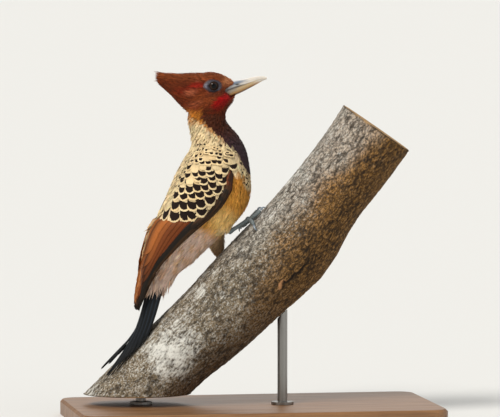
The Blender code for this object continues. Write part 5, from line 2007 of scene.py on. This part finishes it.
# Name, place that the light comes from, spread in degrees, power, colour
LIGHTS = (
    ("key", (-1.2, -1.1, 1.8), 20, 2.5, (1.0, 0.97, 0.92)),
    ("fill", (1.5, -1.2, 0.7), 60, 0.45, (0.93, 0.97, 1.0)),
    ("back", (0.4, 1.6, 1.4), 40, 0.7, (1.0, 0.98, 0.95)),
)


def studio_light(name, place, spread, power, colour):
    """A soft light from far away in the direction of a place."""
    lamp = bpy.data.lights.new(name, "SUN")
    lamp.angle, lamp.energy, lamp.color = math.radians(spread), power, colour
    made = bpy.data.objects.new(name, lamp)
    made.location = place
    made.rotation_euler = (-Vector(place)).to_track_quat("-Z", "Y").to_euler()
    bpy.context.scene.collection.objects.link(made)


class WOODPECKER_OT_stage(bpy.types.Operator):
    """Lay the floor and set the lights and the camera"""

    bl_idname = "woodpecker.stage"
    bl_label = "Stage"

    def execute(self, context):
        scene = context.scene
        look = scene.woodpecker_stage
        fresh = Finish("studio_floor", 0.9, Base_Color=(*look.floor, 1.0), Specular_IOR_Level=0.1)
        turns = np.linspace(0, 2 * math.pi, FLOOR_CORNERS, endpoint=False)
        ring = np.stack([np.cos(turns), np.sin(turns), 0 * turns], 1) * FLOOR_RADIUS
        floor = new_object("floor", mesh_of("floor", ring, [tuple(range(FLOOR_CORNERS))]), fresh.material)
        world = bpy.data.worlds.new("Studio")
        world.use_nodes = True
        sky = world.node_tree.nodes["Background"]
        sky.inputs["Color"].default_value = (*look.floor, 1.0)
        sky.inputs["Strength"].default_value = 0.5
        scene.world = world
        for light in LIGHTS:
            studio_light(*light)
        scene.view_settings.view_transform = "Standard"
        camera = bpy.data.objects.new("camera", bpy.data.cameras.new("camera"))
        scene.collection.objects.link(camera)
        around, above = look.azimuth, look.elevation
        ahead = Vector((-math.sin(around) * math.cos(above), math.cos(around) * math.cos(above),
                        -math.sin(above)))
        camera.location = Vector(CAMERA_TARGET) - ahead * look.distance
        camera.rotation_euler = ahead.to_track_quat("-Z", "Y").to_euler()
        camera.data.lens = look.lens
        camera.data.clip_end = 200
        scene.camera = camera
        return {"FINISHED"}


class WOODPECKER_PT_panel(bpy.types.Panel):
    """Buttons for every piece of the model"""

    bl_label = "Woodpecker"
    bl_idname = "WOODPECKER_PT_panel"
    bl_space_type = "VIEW_3D"
    bl_region_type = "UI"
    bl_category = "Woodpecker"

    def draw(self, context):
        for operator in OPERATORS:
            self.layout.operator(operator.bl_idname)


GROUPS = {"woodpecker_plumage": WOODPECKER_PG_plumage, "woodpecker_head": WOODPECKER_PG_head,
          "woodpecker_feet": WOODPECKER_PG_feet, "woodpecker_branch": WOODPECKER_PG_branch,
          "woodpecker_stand": WOODPECKER_PG_stand, "woodpecker_stage": WOODPECKER_PG_stage}
OPERATORS = (WOODPECKER_OT_stage, WOODPECKER_OT_skin, WOODPECKER_OT_head_plumage,
             WOODPECKER_OT_body_plumage, WOODPECKER_OT_coverts, WOODPECKER_OT_flight,
             WOODPECKER_OT_bill, WOODPECKER_OT_eyes, WOODPECKER_OT_feet, WOODPECKER_OT_branch,
             WOODPECKER_OT_stand)


def register():
    for group in (*GROUPS.values(), *OPERATORS, WOODPECKER_PT_panel):
        bpy.utils.register_class(group)
    for name, group in GROUPS.items():
        setattr(bpy.types.Scene, name, PointerProperty(type=group))


def unregister():
    for name in GROUPS:
        delattr(bpy.types.Scene, name)
    for group in (WOODPECKER_PT_panel, *reversed(OPERATORS), *GROUPS.values()):
        bpy.utils.unregister_class(group)


def main():
    register()
    for operator in OPERATORS:
        family, name = operator.bl_idname.split(".")
        getattr(getattr(bpy.ops, family), name)()


if __name__ == "__main__":
    main()
